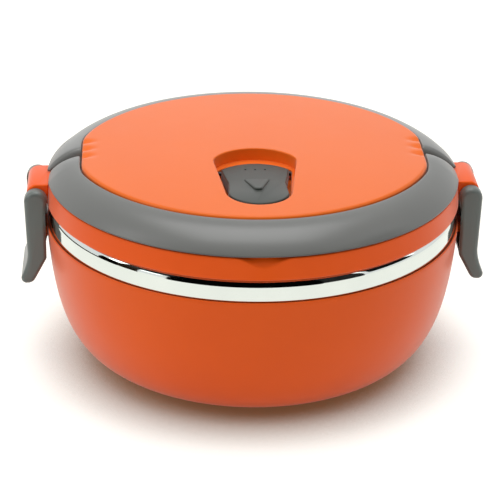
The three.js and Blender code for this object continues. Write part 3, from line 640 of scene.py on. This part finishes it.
def panel_reach(angle, grow):
    """How far the panel's outline lies from the middle in one direction."""
    lean = panel_centre * abs(math.sin(angle))
    round_reach = lean + math.sqrt((panel_radius + grow) ** 2 - panel_centre**2 + lean**2)
    flat_reach = (PANEL_HALF_WIDTH + grow) / max(abs(math.cos(angle)), LEAST_COSINE)
    blend = max(CORNER_BLEND - abs(round_reach - flat_reach), 0) / CORNER_BLEND
    return min(round_reach, flat_reach) - CORNER_BLEND * blend**2 / 4


def vent_outline(rear, shoulder_half, shoulder, nose, nose_half, corner_rounds):
    """A wide arc at the rear, sides that draw in and a round nose in front, seen from above."""

    def outline(grow):
        rise = rear - shoulder
        radius = (shoulder_half**2 + rise**2) / (2 * rise)
        sweep = math.degrees(math.asin(shoulder_half / radius))
        back = arc(0, rear - radius, radius + grow, 90 - sweep, 90 + sweep, steps=40)
        tip = arc(0, nose + nose_half, nose_half + grow, 180, 360, steps=40)
        points = back + spread(back[-1], tip[0], count=40) + tip + spread(tip[-1], back[0], count=40)
        return ease_corners(points, (back[0], back[-1]), VENT_EASE_REACH, corner_rounds)

    return outline


def loft(outline, levels):
    """A closed body through one outline at several levels. Each level says how far the outline grows, its
    height and, where it is drawn smaller, its share of size."""
    bm = bmesh.new()
    station = bm.verts.layers.int.new("station")
    (grow, z, share), *others = [(*level, 1)[:3] for level in levels]
    ring = [bm.verts.new((x * share, y * share, z)) for x, y in outline(grow)]
    for i, v in enumerate(ring):
        v[station] = i
    edges = [bm.edges.new(pair) for pair in zip(ring, ring[1:] + ring[:1])]
    bm.faces.new(ring)
    for grow, z, share in others:
        points = outline(grow)
        drawn = bmesh.ops.extrude_edge_only(bm, edges=edges)["geom"]
        edges = [e for e in drawn if isinstance(e, bmesh.types.BMEdge)]
        for v in drawn:
            if isinstance(v, bmesh.types.BMVert):
                x, y = points[v[station]]
                v.co = (x * share, y * share, z)
    bmesh.ops.contextual_create(bm, geom=edges)
    bmesh.ops.recalc_face_normals(bm, faces=bm.faces)
    return bm


def crown_panel(bm):
    """Raises the middle of the panel's top and presses the finger ripples into its two ends."""
    round_low = PANEL_EDGE - PANEL_ROUND
    for v in bm.verts:
        if v.co.z < round_low:
            continue
        x, y = v.co.xy
        share = math.hypot(x, y) / panel_reach(math.atan2(y, x), -PANEL_ROUND)
        along = (abs(x) - PANEL_HALF_WIDTH + RIPPLE_LENGTH) / RIPPLE_LENGTH
        across = abs(y - RIPPLE_CENTRE)
        height_share = (v.co.z - round_low) / PANEL_ROUND
        v.co.z += PANEL_CROWN * max(1 - share**2, 0)
        if across < RIPPLE_HALF_SPAN:
            wave = (0.5 + 0.5 * math.cos(math.tau * across / RIPPLE_PITCH)) ** 2
            v.co.z -= RIPPLE_DEPTH * wave * smooth_step(along) * height_share


edge_rows = [1 - EDGE_ROW * i for i in range(1, EDGE_ROWS + 1)]
middle_rows = [MIDDLE_START - MIDDLE_ROW * i for i in range(MIDDLE_ROWS)]
panel = loft(
    panel_outline,
    [
        (0, PANEL_LOW),
        *arc(-PANEL_ROUND, PANEL_EDGE - PANEL_ROUND, PANEL_ROUND, 0, 90, steps=6),
        *((-PANEL_ROUND, PANEL_EDGE, share) for share in edge_rows + middle_rows),
    ],
)
recess_outline = vent_outline(
    rear=-0.7, shoulder_half=15.5, shoulder=-10.8, nose=-50.9, nose_half=12, corner_rounds=8
)
pocket_outline = vent_outline(
    rear=-4.9, shoulder_half=13.8, shoulder=-10.9, nose=-50.6, nose_half=11.3, corner_rounds=5
)
lip_bend = arc(RECESS_LIP, PANEL_EDGE - RECESS_LIP, RECESS_LIP, 180, RECESS_LIP_END, steps=5)
recess = loft(recess_outline, [(0, LEDGE), *lip_bend, (2 * RECESS_LIP, PANEL_EDGE + RECESS_FLARE)])
pocket = loft(pocket_outline, [(0, TUB_FLOOR), *((grow, LEDGE + rise) for grow, rise in POCKET_LIP)])
hollow = loft(panel_outline, [(-PANEL_WALL, PANEL_LOW - OVERSHOOT), (-PANEL_WALL, PANEL_EDGE - PANEL_WALL)])
tub = loft(recess_outline, [(TUB_WALL, PANEL_LOW - 2 * OVERSHOOT), (TUB_WALL, PANEL_EDGE)])
chimney_hole = rod(CHIMNEY_RADIUS + SEAT_GAP, PANEL_LOW - OVERSHOOT, TUB_FLOOR + OVERSHOOT, CHIMNEY_Y)
for tool in (recess, pocket, combine(hollow, tub, "DIFFERENCE"), chimney_hole):
    panel = combine(panel, tool, "DIFFERENCE")
crown_panel(panel)
# The panel's orange is drawn paler than the lid ring's: painted light, standing in for the stronger light that
# falls on the top.
panel_plastic_painted_light = moulded_polypropylene("moulded_polypropylene_panel_painted_light", "#f2701a", "#ec6913", 0.38)
cover = finish_piece(panel, "panel", panel_plastic_painted_light, "lid", "top_panel")
cover.modifiers.new("even_shading", "WEIGHTED_NORMAL").keep_sharp = True

# Carry handle: a mid grey crescent round the front of the panel, hinged on two steel pins. It is moulded in
# polypropylene, crowned on top, hollow and ribbed underneath, with a solid rounded nose at each end.

RING_RADIUS = 76.9
RING_CROWN_TOP = 80.5
RING_CROWN_RADIUS = 19.3
RING_LEVEL_RADIUS = 61.6  # where the crown lies level
RING_EDGE = 0.45
RING_INNER_EDGE = 0.8
RING_FOOT = 1  # height of the lower edges, which don't follow the crown
CROWN_INSET = 0.05
CROWN_STEPS = 24
CROWN_CROWDING = 1.6  # draws the steps together outside
HANDLE_GAP = 0.5
HANDLE_LOW = 72.5
HANDLE_PIVOT_Z = 76.2
NOSE_START = 8  # degrees in front of the side, where each nose begins
NOSE_STEPS = 14  # of a degree each
NOSE_TIP_Y = 1.3
NOSE_TIP_SHARE = 0.4  # from the panel side
NOSE_PLAN_POWER = 5  # two would be an ellipse, and more is fuller
NOSE_HEIGHT_POWER = 3
ANGLE_SLACK = 0.001
HANDLE_WALL = 2
HOLLOW_STEPS = 12
HOLLOW_END = 9.1  # degrees in front of the side
RIB = 1.6
RIB_COUNT = 7


def crown_height(radius, inset=0):
    """Height of the ring's crown, or of a surface inside it."""
    crown = RING_CROWN_RADIUS - inset
    return RING_CROWN_TOP - RING_CROWN_RADIUS + math.sqrt(crown**2 - (radius - RING_LEVEL_RADIUS) ** 2)


def ring_section(inside, low):
    """Section of the crowned ring, from its inner lower edge round the outside to its inner upper edge."""
    outside = RING_RADIUS - CROWN_INSET
    top_inside = inside + RING_INNER_EDGE
    shares = [(i / CROWN_STEPS) ** CROWN_CROWDING for i in range(CROWN_STEPS + 1)]
    crown = [outside - (outside - top_inside) * share for share in shares]
    return [
        *arc(inside + RING_EDGE, low + RING_EDGE, RING_EDGE, 180, 270, steps=4),
        *arc(RING_RADIUS - RING_EDGE, low + RING_EDGE, RING_EDGE, 270, 360, steps=5)[:-1],
        *((r, crown_height(r)) for r in crown),
        *arc(top_inside, crown_height(top_inside) - RING_INNER_EDGE, RING_INNER_EDGE, 90, 180, steps=6)[1:],
    ]


def turned(section, start, end, steps, capped):
    """A closed section in the XZ plane turned part of the way round Z, between two angles in degrees."""
    bm = bmesh.new()
    verts = [bm.verts.new((x, 0, z)) for x, z in section]
    edges = [bm.edges.new(pair) for pair in zip(verts, verts[1:] + verts[:1])]
    bmesh.ops.rotate(bm, verts=verts, matrix=Matrix.Rotation(math.radians(start), 3, "Z"))
    sweep = math.radians(end - start)
    last = bmesh.ops.spin(bm, geom=verts + edges, axis=(0, 0, 1), angle=sweep, steps=steps)["geom_last"]
    if capped:
        bmesh.ops.contextual_create(bm, geom=edges)
        bmesh.ops.contextual_create(bm, geom=[e for e in last if isinstance(e, bmesh.types.BMEdge)])
    bmesh.ops.recalc_face_normals(bm, faces=bm.faces)
    return bm


def lay_round_panel(bm, gap):
    """Moves the inner side of a turned ring out to the panel's outline, and keeps to the crown."""
    inside = PANEL_HALF_DEPTH + gap
    for v in bm.verts:
        angle = math.atan2(v.co.y, v.co.x)
        radius = v.co.xy.length
        share = (RING_RADIUS - radius) / (RING_RADIUS - inside)
        moved = RING_RADIUS - share * (RING_RADIUS - panel_reach(angle, gap))
        if v.co.z > HANDLE_LOW + RING_FOOT:
            v.co.z += crown_height(moved) - crown_height(radius)
        v.co.xy = (moved * math.cos(angle), moved * math.sin(angle))
    return bm


def round_noses(bm):
    """Draws each end of the handle together to a nose that points along Y."""
    start = math.radians(-NOSE_START)
    end_inside = (PANEL_HALF_WIDTH + HANDLE_GAP) / math.cos(start)
    tip_radius = end_inside + NOSE_TIP_SHARE * (RING_RADIUS - end_inside)
    reach = NOSE_TIP_Y - tip_radius * math.sin(start)
    for v in bm.verts:
        side = 1 if v.co.x > 0 else -1
        angle = math.atan2(v.co.y, side * v.co.x)
        if angle < start + ANGLE_SLACK:
            continue
        turn = min(math.degrees(angle - start) / NOSE_STEPS, 1) * math.pi / 2
        plan = max(1 - math.sin(turn) ** NOSE_PLAN_POWER, 0) ** (1 / NOSE_PLAN_POWER)
        height = max(1 - math.sin(turn) ** NOSE_HEIGHT_POWER, 0) ** (1 / NOSE_HEIGHT_POWER)
        share = (RING_RADIUS - v.co.xy.length) / (RING_RADIUS - panel_reach(angle, HANDLE_GAP))
        radius = tip_radius + (RING_RADIUS - share * (RING_RADIUS - end_inside) - tip_radius) * plan
        v.co.x = side * radius * math.cos(start)
        v.co.y = radius * math.sin(start) + reach * math.sin(turn)
        v.co.z = HANDLE_PIVOT_Z + (v.co.z - HANDLE_PIVOT_Z) * height
    return bm


handle_inside = PANEL_HALF_DEPTH + HANDLE_GAP
past_side = NOSE_STEPS - NOSE_START
handle_section = ring_section(handle_inside, HANDLE_LOW)
handle = turned(handle_section, -180 - past_side, past_side, steps=180 + 2 * past_side, capped=False)
handle = round_noses(lay_round_panel(handle, HANDLE_GAP))
bmesh.ops.remove_doubles(handle, verts=handle.verts, dist=WELD)
hollow_out = RING_RADIUS - HANDLE_WALL
hollow_in = handle_inside + HANDLE_WALL
hollow_radii = [hollow_out - (hollow_out - hollow_in) * i / HOLLOW_STEPS for i in range(HOLLOW_STEPS + 1)]
hollow_section = [
    (hollow_in, HANDLE_LOW - OVERSHOOT),
    (hollow_out, HANDLE_LOW - OVERSHOOT),
    *((r, crown_height(r, HANDLE_WALL)) for r in hollow_radii),
]
rib_angle = math.degrees(RIB / 2 / ((hollow_in + hollow_out) / 2))
rib_places = [-180 * (i + 1) / (RIB_COUNT + 1) for i in range(RIB_COUNT)]
bay_starts = [HOLLOW_END - 180, *(a + rib_angle for a in reversed(rib_places))]
bay_ends = [*(a - rib_angle for a in reversed(rib_places)), -HOLLOW_END]
for start, end in zip(bay_starts, bay_ends):
    bay = lay_round_panel(turned(hollow_section, start, end, steps=16, capped=True), HANDLE_GAP)
    handle = combine(handle, bay, "DIFFERENCE")
handle_plastic = moulded_polypropylene("moulded_polypropylene_handle", "#6b6c69", "#636461", 0.32, 0.6)
finish_piece(handle, "handle_bow", handle_plastic, "handle", "carry_handle")

# Rear trim: the fixed half of the grey ring, clipped to the deck behind the panel. The same plastic and
# section as the handle, with its ends cut to a ramp that gives the handle's noses room to turn.

TRIM_OVERRUN = 3  # degrees past each side, before the ramps are cut
TRIM_STEPS = 372
TRIM_RAMP = math.radians(25)  # from upright
TRIM_REACH = 5  # from the handle's pivot
TRIM_RIDGE = 0.7
TRIM_TOE = 1.2
TRIM_SINK = 0.5
TRIM_SINK_REACH = 40
HANDLE_PIVOT_Y = -2

trim_section = ring_section(PANEL_HALF_DEPTH + SEAT_GAP, PANEL_LOW)
trim = turned(trim_section, -TRIM_OVERRUN, 180 + TRIM_OVERRUN, steps=TRIM_STEPS, capped=True)
lay_round_panel(trim, SEAT_GAP)
ramp_y = HANDLE_PIVOT_Y + TRIM_REACH * math.cos(TRIM_RAMP)
ramp_z = HANDLE_PIVOT_Z - TRIM_REACH * math.sin(TRIM_RAMP)
for v in trim.verts:
    if v.co.z > PANEL_LOW + RING_FOOT:
        v.co.z -= TRIM_SINK * smooth_step(v.co.y / TRIM_SINK_REACH)
        room = (ramp_z + (v.co.y - ramp_y) / math.tan(TRIM_RAMP) - v.co.z) / 2
        v.co.z += room - math.hypot(room, TRIM_RIDGE)
toe_y = ramp_y + (PANEL_LOW + TRIM_TOE - ramp_z) * math.tan(TRIM_RAMP)
bmesh.ops.bisect_plane(
    trim,
    geom=[*trim.verts, *trim.edges, *trim.faces],
    plane_co=(0, toe_y, 0),
    plane_no=(0, 1, 0),
    clear_inner=True,
)
bmesh.ops.holes_fill(trim, edges=[e for e in trim.edges if e.is_boundary])
bmesh.ops.recalc_face_normals(trim, faces=trim.faces)
finish_piece(trim, "trim_bow", handle_plastic, "lid", "rear_trim")

# Vent flap: the dark grey lever in the recess. A thin polypropylene moulding with a hanging rim, a waist for
# the fingers and a raised wedge for the thumb; a barrel near its tail snaps round the steel pin.

FLAP_TOP = 79
FLAP_UNDER = 77.2
FLAP_LOW = 75.2
FLAP_RIM = 2.8
FLAP_EDGE = 0.6
FLAP_SKIN = 1  # depth of the top that leans
FLAP_LEAN = 2.2
FLAP_LEAN_LENGTH = 35
WAIST_HALF = 10.4
WAIST_Y = -28
WAIST_REAR_SLOPE = 0.15
WAIST_FRONT_SLOPE = 0.04
TAIL_Y = -13.7
VENT_PIN_Y = -10.5
VENT_PIN_Z = 76
BARREL_RADIUS = 1.8
BARREL_HALF = 7
BARREL_STEPS = 48
SOCKET_RADIUS = 4.2
SOCKET_WALL = 1.2
SOCKET_LOW = 75.7
SOCKET_ROOT = 0.5  # how far it runs up into the flap
WEDGE_HALF = 4.5
WEDGE_REAR = -25.2
WEDGE_TIP = -36.8
WEDGE_TIP_HALF = 1.5
WEDGE_TIP_SWEEP = 75  # degrees to each side
WEDGE_SIDE = ((0.3, -0.5), (0, 0.556), (-0.2, 0.752), (-0.6, 0.85))  # growth and height over the flap
WEDGE_REAR_SHARE = 0.6  # of its height at the tip
DIMPLE_PITCH = 3.6
DIMPLE_Y = -13.8
DIMPLE_RADIUS = 0.42
DIMPLE_DEPTH = 0.6
DIMPLE_STEPS = 16
WELL_CLEAR = 30  # takes a block right past a small piece

plain_flap = vent_outline(
    rear=-7.7, shoulder_half=12.6, shoulder=-13.7, nose=-49.9, nose_half=10.9, corner_rounds=1
)


def flap_outline(grow):
    """The flap seen from above: the vent's outline, drawn in to a waist where fingers lift it."""
    points = []
    for x, y in plain_flap(grow):
        slope = WAIST_REAR_SLOPE if y > WAIST_Y else WAIST_FRONT_SLOPE
        limit = WAIST_HALF + grow + slope * abs(y - WAIST_Y)
        points.append((math.copysign(min(abs(x), limit), x), y))
    return points


def wedge_outline(grow):
    """The thumb wedge seen from above: wide at the rear, with a round tip in front."""
    rear = [(WEDGE_HALF + grow, WEDGE_REAR), (-WEDGE_HALF - grow, WEDGE_REAR)]
    tip_y = WEDGE_TIP + WEDGE_TIP_HALF
    tip = arc(0, tip_y, WEDGE_TIP_HALF + grow, 270 - WEDGE_TIP_SWEEP, 270 + WEDGE_TIP_SWEEP, steps=12)
    return rear + spread(rear[-1], tip[0], count=6) + tip + spread(tip[-1], rear[0], count=6)


def block(low, high):
    """A square-edged block between two corners."""
    bm = bmesh.new()
    bmesh.ops.create_cube(bm, size=1)
    bmesh.ops.scale(bm, verts=bm.verts, vec=Vector(high) - Vector(low))
    bmesh.ops.translate(bm, verts=bm.verts, vec=(Vector(low) + Vector(high)) / 2)
    return bm


flap = loft(
    flap_outline,
    [
        (-FLAP_RIM, FLAP_UNDER),
        (-FLAP_RIM, FLAP_LOW),
        (0, FLAP_LOW),
        *arc(-FLAP_EDGE, FLAP_TOP - FLAP_EDGE, FLAP_EDGE, 0, 90, steps=5),
    ],
)
tail_room = block((-WELL_CLEAR, TAIL_Y, FLAP_LOW - OVERSHOOT), (WELL_CLEAR, 0, FLAP_UNDER))
flap = combine(flap, tail_room, "DIFFERENCE")
wedge = loft(wedge_outline, [(grow, FLAP_TOP + rise) for grow, rise in WEDGE_SIDE])
for v in wedge.verts:
    if v.co.z > FLAP_TOP:
        along = (WEDGE_REAR - v.co.y) / (WEDGE_REAR - WEDGE_TIP)
        v.co.z = FLAP_TOP + (v.co.z - FLAP_TOP) * (WEDGE_REAR_SHARE + (1 - WEDGE_REAR_SHARE) * along)
flap = combine(flap, wedge, "UNION")
barrel = rod(BARREL_RADIUS, -BARREL_HALF, BARREL_HALF, steps=BARREL_STEPS)
bmesh.ops.rotate(barrel, verts=barrel.verts, matrix=Matrix.Rotation(math.pi / 2, 3, "Y"))
bmesh.ops.translate(barrel, verts=barrel.verts, vec=(0, VENT_PIN_Y, VENT_PIN_Z))
flap = combine(flap, barrel, "UNION")
socket_wall = rod(SOCKET_RADIUS + SOCKET_WALL, SOCKET_LOW, FLAP_UNDER + SOCKET_ROOT, CHIMNEY_Y)
flap = combine(flap, socket_wall, "UNION")
flap = combine(flap, rod(SOCKET_RADIUS, FLAP_LOW - OVERSHOOT, FLAP_UNDER, CHIMNEY_Y), "DIFFERENCE")
for i in (-1, 0, 1):
    dimple = rod(DIMPLE_RADIUS, FLAP_TOP - DIMPLE_DEPTH, FLAP_TOP + OVERSHOOT, DIMPLE_Y, DIMPLE_STEPS)
    bmesh.ops.translate(dimple, verts=dimple.verts, vec=(i * DIMPLE_PITCH, 0, 0))
    flap = combine(flap, dimple, "DIFFERENCE")
for v in flap.verts:
    if v.co.z > FLAP_TOP - FLAP_SKIN:
        v.co.z += FLAP_LEAN * smooth_step((TAIL_Y - v.co.y) / FLAP_LEAN_LENGTH)
flap_plastic = moulded_polypropylene("moulded_polypropylene_flap", "#383d38", "#333732", 0.42)
finish_piece(flap, "flap", flap_plastic, "vent", "vent_flap")

# Vent seal: a silicone plug pushed into the socket under the flap. Its disc closes the chimney's mouth, and
# its nipple centres it in the bore.

SEAL_RADIUS = 3.9
SEAL_LOW = 74.6
SEAL_TOP = 76.9
NIPPLE_RADIUS = 2
NIPPLE_LOW = 72.9
SEAL_ROUND = 0.4

seal = spun(
    [
        (0, NIPPLE_LOW),
        *arc(NIPPLE_RADIUS - SEAL_ROUND, NIPPLE_LOW + SEAL_ROUND, SEAL_ROUND, 270, 360, steps=4),
        (NIPPLE_RADIUS, SEAL_LOW),
        *arc(SEAL_RADIUS - SEAL_ROUND, SEAL_LOW + SEAL_ROUND, SEAL_ROUND, 270, 360, steps=4),
        (SEAL_RADIUS, SEAL_TOP),
        (0, SEAL_TOP),
    ],
    ROD_STEPS,
)
bmesh.ops.translate(seal, verts=seal.verts, vec=(0, CHIMNEY_Y, 0))
finish_piece(seal, "seal_plug", silicone, "vent", "vent_seal")

# Clips: the dark grey levers at the two sides. Each is one polypropylene moulding with two thick cheeks round
# the lid's ear, a hook inside that goes under the bowl's catch, and a finger tab that kicks outward.

CLIP_HALF = 14.45
POCKET_HALF = 10.05
CHEEK_RADIUS = 4.2
CLIP_INNER = 3.8
CLIP_OUTER = 3.5
CLIP_BEND = 22.5
CLIP_LENGTH = 33
CLIP_EDGE = 1.7
TAB_KICK = 6.1
TAB_THICKNESS = 5.4
TAB_ROUND = 2
TAB_ROUND_END = 30  # degrees over the level
TAB_HEEL = 0.7  # how the tab's inner corner bends, across and along
TAB_HEEL_REACH = 1.5
TAB_FRONT = ((4.3, -26.4), (CLIP_OUTER, -23.3))  # what the tab's outer curve leans towards
PLATE_INSIDE = 1.2
PLATE_EDGE_TOP = 4.5
POCKET_END = 24
RIM_RELIEF = 78.6
HOOK_HALF = 12.25
HOOK_TIP = 80.53
HOOK_TOP = 49.2
HOOK_HEIGHT = 2.6
HOOK_ROOT = 1  # how far it runs into the plate
HOOK_ROUND = 0.5


def clip_lever():
    """The right clip, drawn about its pivot and put in place."""
    tab_inside = TAB_KICK - TAB_THICKNESS
    round_low = TAB_ROUND - CLIP_LENGTH
    tab_round = arc(TAB_KICK - TAB_ROUND, round_low, TAB_ROUND, -90, TAB_ROUND_END, steps=8)
    heel = curve(
        (tab_inside, round_low),
        (tab_inside + TAB_HEEL, TAB_HEEL - CLIP_LENGTH),
        (tab_inside + TAB_HEEL_REACH, -CLIP_LENGTH),
        tab_round[0],
        steps=5,
    )
    outline = [
        *arc(0, 0, CHEEK_RADIUS, 0, 180, steps=20),
        (-CLIP_INNER, -CHEEK_RADIUS),
        (-CLIP_INNER, -CLIP_BEND),
        *heel[:-1],
        *tab_round,
        *curve(tab_round[-1], *TAB_FRONT, (CLIP_OUTER, TAB_ROUND - CLIP_BEND), steps=8)[1:],
    ]
    pivot_x, pivot_z = CLIP_PIVOT
    clip = drawn_across([(x + pivot_x, z + pivot_z) for x, z in outline], CLIP_HALF)
    soften(clip, CLIP_EDGE, 5, on_one_side)
    low_x, high_x, high_z = pivot_x - WELL_CLEAR, pivot_x + WELL_CLEAR, pivot_z + WELL_CLEAR
    for tool in (
        block((low_x, -POCKET_HALF, pivot_z - PLATE_EDGE_TOP), (high_x, POCKET_HALF, high_z)),
        block((low_x, -POCKET_HALF, pivot_z - POCKET_END), (pivot_x + PLATE_INSIDE, POCKET_HALF, high_z)),
        rod(RIM_RELIEF, 0, pivot_z - CHEEK_RADIUS, steps=BOX_STEPS),
    ):
        clip = combine(clip, tool, "DIFFERENCE")
    hook = block(
        (HOOK_TIP, -HOOK_HALF, HOOK_TOP - HOOK_HEIGHT),
        (pivot_x + PLATE_INSIDE + HOOK_ROOT, HOOK_HALF, HOOK_TOP),
    )
    soften(hook, HOOK_ROUND, 3, lambda e: all(v.co.x < HOOK_TIP + NEAR for v in e.verts))
    return combine(clip, hook, "UNION")


clip_plastic = moulded_polypropylene("moulded_polypropylene_clip", "#686f6b", "#606763", 0.34, 0.5)
finish_piece(clip_lever(), "clip_lever_right", clip_plastic, "clip_right", "clip_right")
left_lever = mirrored(clip_lever())
finish_piece(left_lever, "clip_lever_left", clip_plastic, "clip_left", "clip_left")

# Pins: drawn stainless wire, cut to length and pushed home, two for the handle, one in each clip and one in
# the vent. They are hidden but for slivers in the joints, and their metal is drawn nearly black: painted shade,
# so that these slivers read as dark gaps.

pin_wire_painted_dark = polished_steel("drawn_stainless_wire_painted_dark", "#4c4d4f", "#3c3d3f", 0.5)
for name in ("handle_pin_left", "handle_pin_right", "clip_pin_left", "clip_pin_right", "vent_pin"):
    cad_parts[name].material_slots[0].material = pin_wire_painted_dark

# Studio: a white table that runs out of view, four soft lamps overhead, left, right and behind, and dark
# flags round the box that only reflections show, as the black lines in the steel.

TABLE_HALF = 3
TABLE_GLOW = 0.9
PAINTED_SHADE_REACH = 0.034  # how near the box the painted shadow darkens the table
PAINTED_SHADE_FULL = 0.27  # openness where the painted shadow is full
PAINTED_SHADE_NONE = 0.8  # and where there is none
FLAG_DISTANCE = 0.29
FLAG_STEPS = 12
FLAGS = (  # bearings from the front and elevations from the steel's shoulder, in degrees, then colour
    (-43, 30, -13, 54, "#050505"),
    (30, 51, -8, 50, "#2e2e2e"),
    (54, 82, 10, 50, "#050505"),
    (-58, -43, 22, 54, "#100d0a"),
    (-70, -58, -10, 54, "#2a1f16"),
    (-82, -70, -12, 20, "#070605"),
    (-125, -82, -13, -4, "#141210"),
)
FILL = 0.42  # light from all round
LAMPS = (  # name, place, width and power
    ("overhead", (0, 0.12, 1), 0.7, 4.9),
    ("left", (-0.9, -0.35, 0.7), 0.7, 3.2),
    ("right", (0.9, -0.2, 0.7), 0.7, 1.3),
    ("rear", (0, 1.25, 0.42), 0.9, 1),
)
BOX_MIDDLE = Vector((0, 0, 0.04))


def stand(bm, name, material):
    """Puts a shape in the studio that isn't part of the box."""
    mesh = bpy.data.meshes.new(name)
    bm.to_mesh(mesh)
    bm.free()
    mesh.materials.append(material)
    prop = bpy.data.objects.new(name, mesh)
    bpy.context.collection.objects.link(prop)
    return prop


def shown(tree):
    """A factor of one where the camera or a reflection looks, and of nought for light that bounces."""
    path = node(tree, "ShaderNodeLightPath", {})
    rays = {0: path.outputs["Is Camera Ray"], 1: path.outputs["Is Glossy Ray"]}
    return node(tree, "ShaderNodeMath", rays, operation="MAXIMUM").outputs[0]


def table_with_painted_shade(name):
    """Matt white paint whose glow burns out to plain white, with a painted shadow: the glow turns warm brown
    close under the box, by how near the box is.
    """
    material, tree = blank_material(name)
    closeness = node(tree, "ShaderNodeAmbientOcclusion", {"Distance": PAINTED_SHADE_REACH}, samples=8)
    openness = node(
        tree,
        "ShaderNodeMapRange",
        {"Value": closeness.outputs["AO"], "From Min": PAINTED_SHADE_FULL, "From Max": PAINTED_SHADE_NONE},
    )
    # Painted shadow: the glow's colour runs from dark brown where the box is near to white where it is open.
    tone = node(
        tree,
        "ShaderNodeMix",
        {"Factor": openness.outputs["Result"], MIX_FIRST: linear("#5a3c24"), MIX_SECOND: linear("#ffffff")},
        data_type="RGBA",
    )
    paint = node(tree, "ShaderNodeBsdfDiffuse", {"Color": linear("#9a9684")})
    glow = node(tree, "ShaderNodeEmission", {"Color": tone.outputs[MIX_RESULT], "Strength": TABLE_GLOW})
    lifted = node(tree, "ShaderNodeAddShader", {0: paint.outputs[0], 1: glow.outputs[0]})
    bounced = node(tree, "ShaderNodeBsdfDiffuse", {"Color": linear("#eeedeb")})
    surface = node(tree, "ShaderNodeMixShader", {0: shown(tree), 1: bounced.outputs[0], 2: lifted.outputs[0]})
    node(tree, "ShaderNodeOutputMaterial", {"Surface": surface.outputs[0]})
    return material


def black_flag(name, start, end, low, high, colour):
    """A screen of dull cloth round the box, between two bearings and two elevations."""
    material, tree = blank_material(name)
    cloth = node(tree, "ShaderNodeBsdfDiffuse", {"Color": linear(colour)})
    node(tree, "ShaderNodeOutputMaterial", {"Surface": cloth.outputs[0]})
    bm = bmesh.new()
    reach = FLAG_DISTANCE - BAND_RADIUS * MM
    heights = [LINER_RIM * MM + reach * math.tan(math.radians(e)) for e in (low, high)]
    ends = [bm.verts.new((0, -FLAG_DISTANCE, z)) for z in heights]
    edge = bm.edges.new(ends)
    bmesh.ops.rotate(bm, verts=ends, matrix=Matrix.Rotation(math.radians(start), 3, "Z"))
    sweep = math.radians(end - start)
    bmesh.ops.spin(bm, geom=[*ends, edge], axis=(0, 0, 1), angle=sweep, steps=FLAG_STEPS)
    screen = stand(bm, name, material)
    screen.visible_camera = False
    screen.visible_diffuse = False
    screen.visible_shadow = False
    screen.visible_transmission = False


table = bmesh.new()
bmesh.ops.create_grid(table, x_segments=1, y_segments=1, size=TABLE_HALF)
stand(table, "table", table_with_painted_shade("white_table_with_painted_shade"))
for i, flag in enumerate(FLAGS):
    black_flag(f"black_flag_{i}", *flag)

world = bpy.data.worlds.new("studio")
world.use_nodes = True
tree = world.node_tree
tree.nodes.clear()
fill = node(tree, "ShaderNodeBackground", {"Color": linear("#ffffff"), "Strength": FILL})
white = node(tree, "ShaderNodeBackground", {"Color": linear("#ffffff"), "Strength": 1})
sky = node(tree, "ShaderNodeMixShader", {0: shown(tree), 1: fill.outputs[0], 2: white.outputs[0]})
node(tree, "ShaderNodeOutputWorld", {"Surface": sky.outputs[0]})
bpy.context.scene.world = world

for name, place, width, power in LAMPS:
    lamp = bpy.data.lights.new(name, "AREA")
    lamp.size = width
    lamp.energy = power
    light = bpy.data.objects.new(name, lamp)
    light.location = place
    light.rotation_euler = (BOX_MIDDLE - Vector(place)).to_track_quat("-Z", "Y").to_euler()
    bpy.context.collection.objects.link(light)

bpy.context.scene.view_settings.view_transform = "Standard"

# Camera: a long lens from the front, a little left of the middle and looking down on the lid.

VIEW_TURN = math.radians(-3.3)
VIEW_TILT = math.radians(24.845)
VIEW_ROLL = math.radians(0.846)
VIEW_DISTANCE = 0.8

lens = bpy.data.cameras.new("camera")
lens.sensor_width = 36
lens.lens = 150.9
lens.shift_x = -0.0036
camera = bpy.data.objects.new("camera", lens)
back = Vector((0, -math.cos(VIEW_TILT), math.sin(VIEW_TILT)))
back.rotate(Matrix.Rotation(VIEW_TURN, 3, "Z"))
aim = (-back).to_track_quat("-Z", "Y").to_matrix() @ Matrix.Rotation(VIEW_ROLL, 3, "Z")
camera.matrix_world = Matrix.LocRotScale(BOX_MIDDLE + back * VIEW_DISTANCE, aim, None)
bpy.context.collection.objects.link(camera)
bpy.context.scene.camera = camera
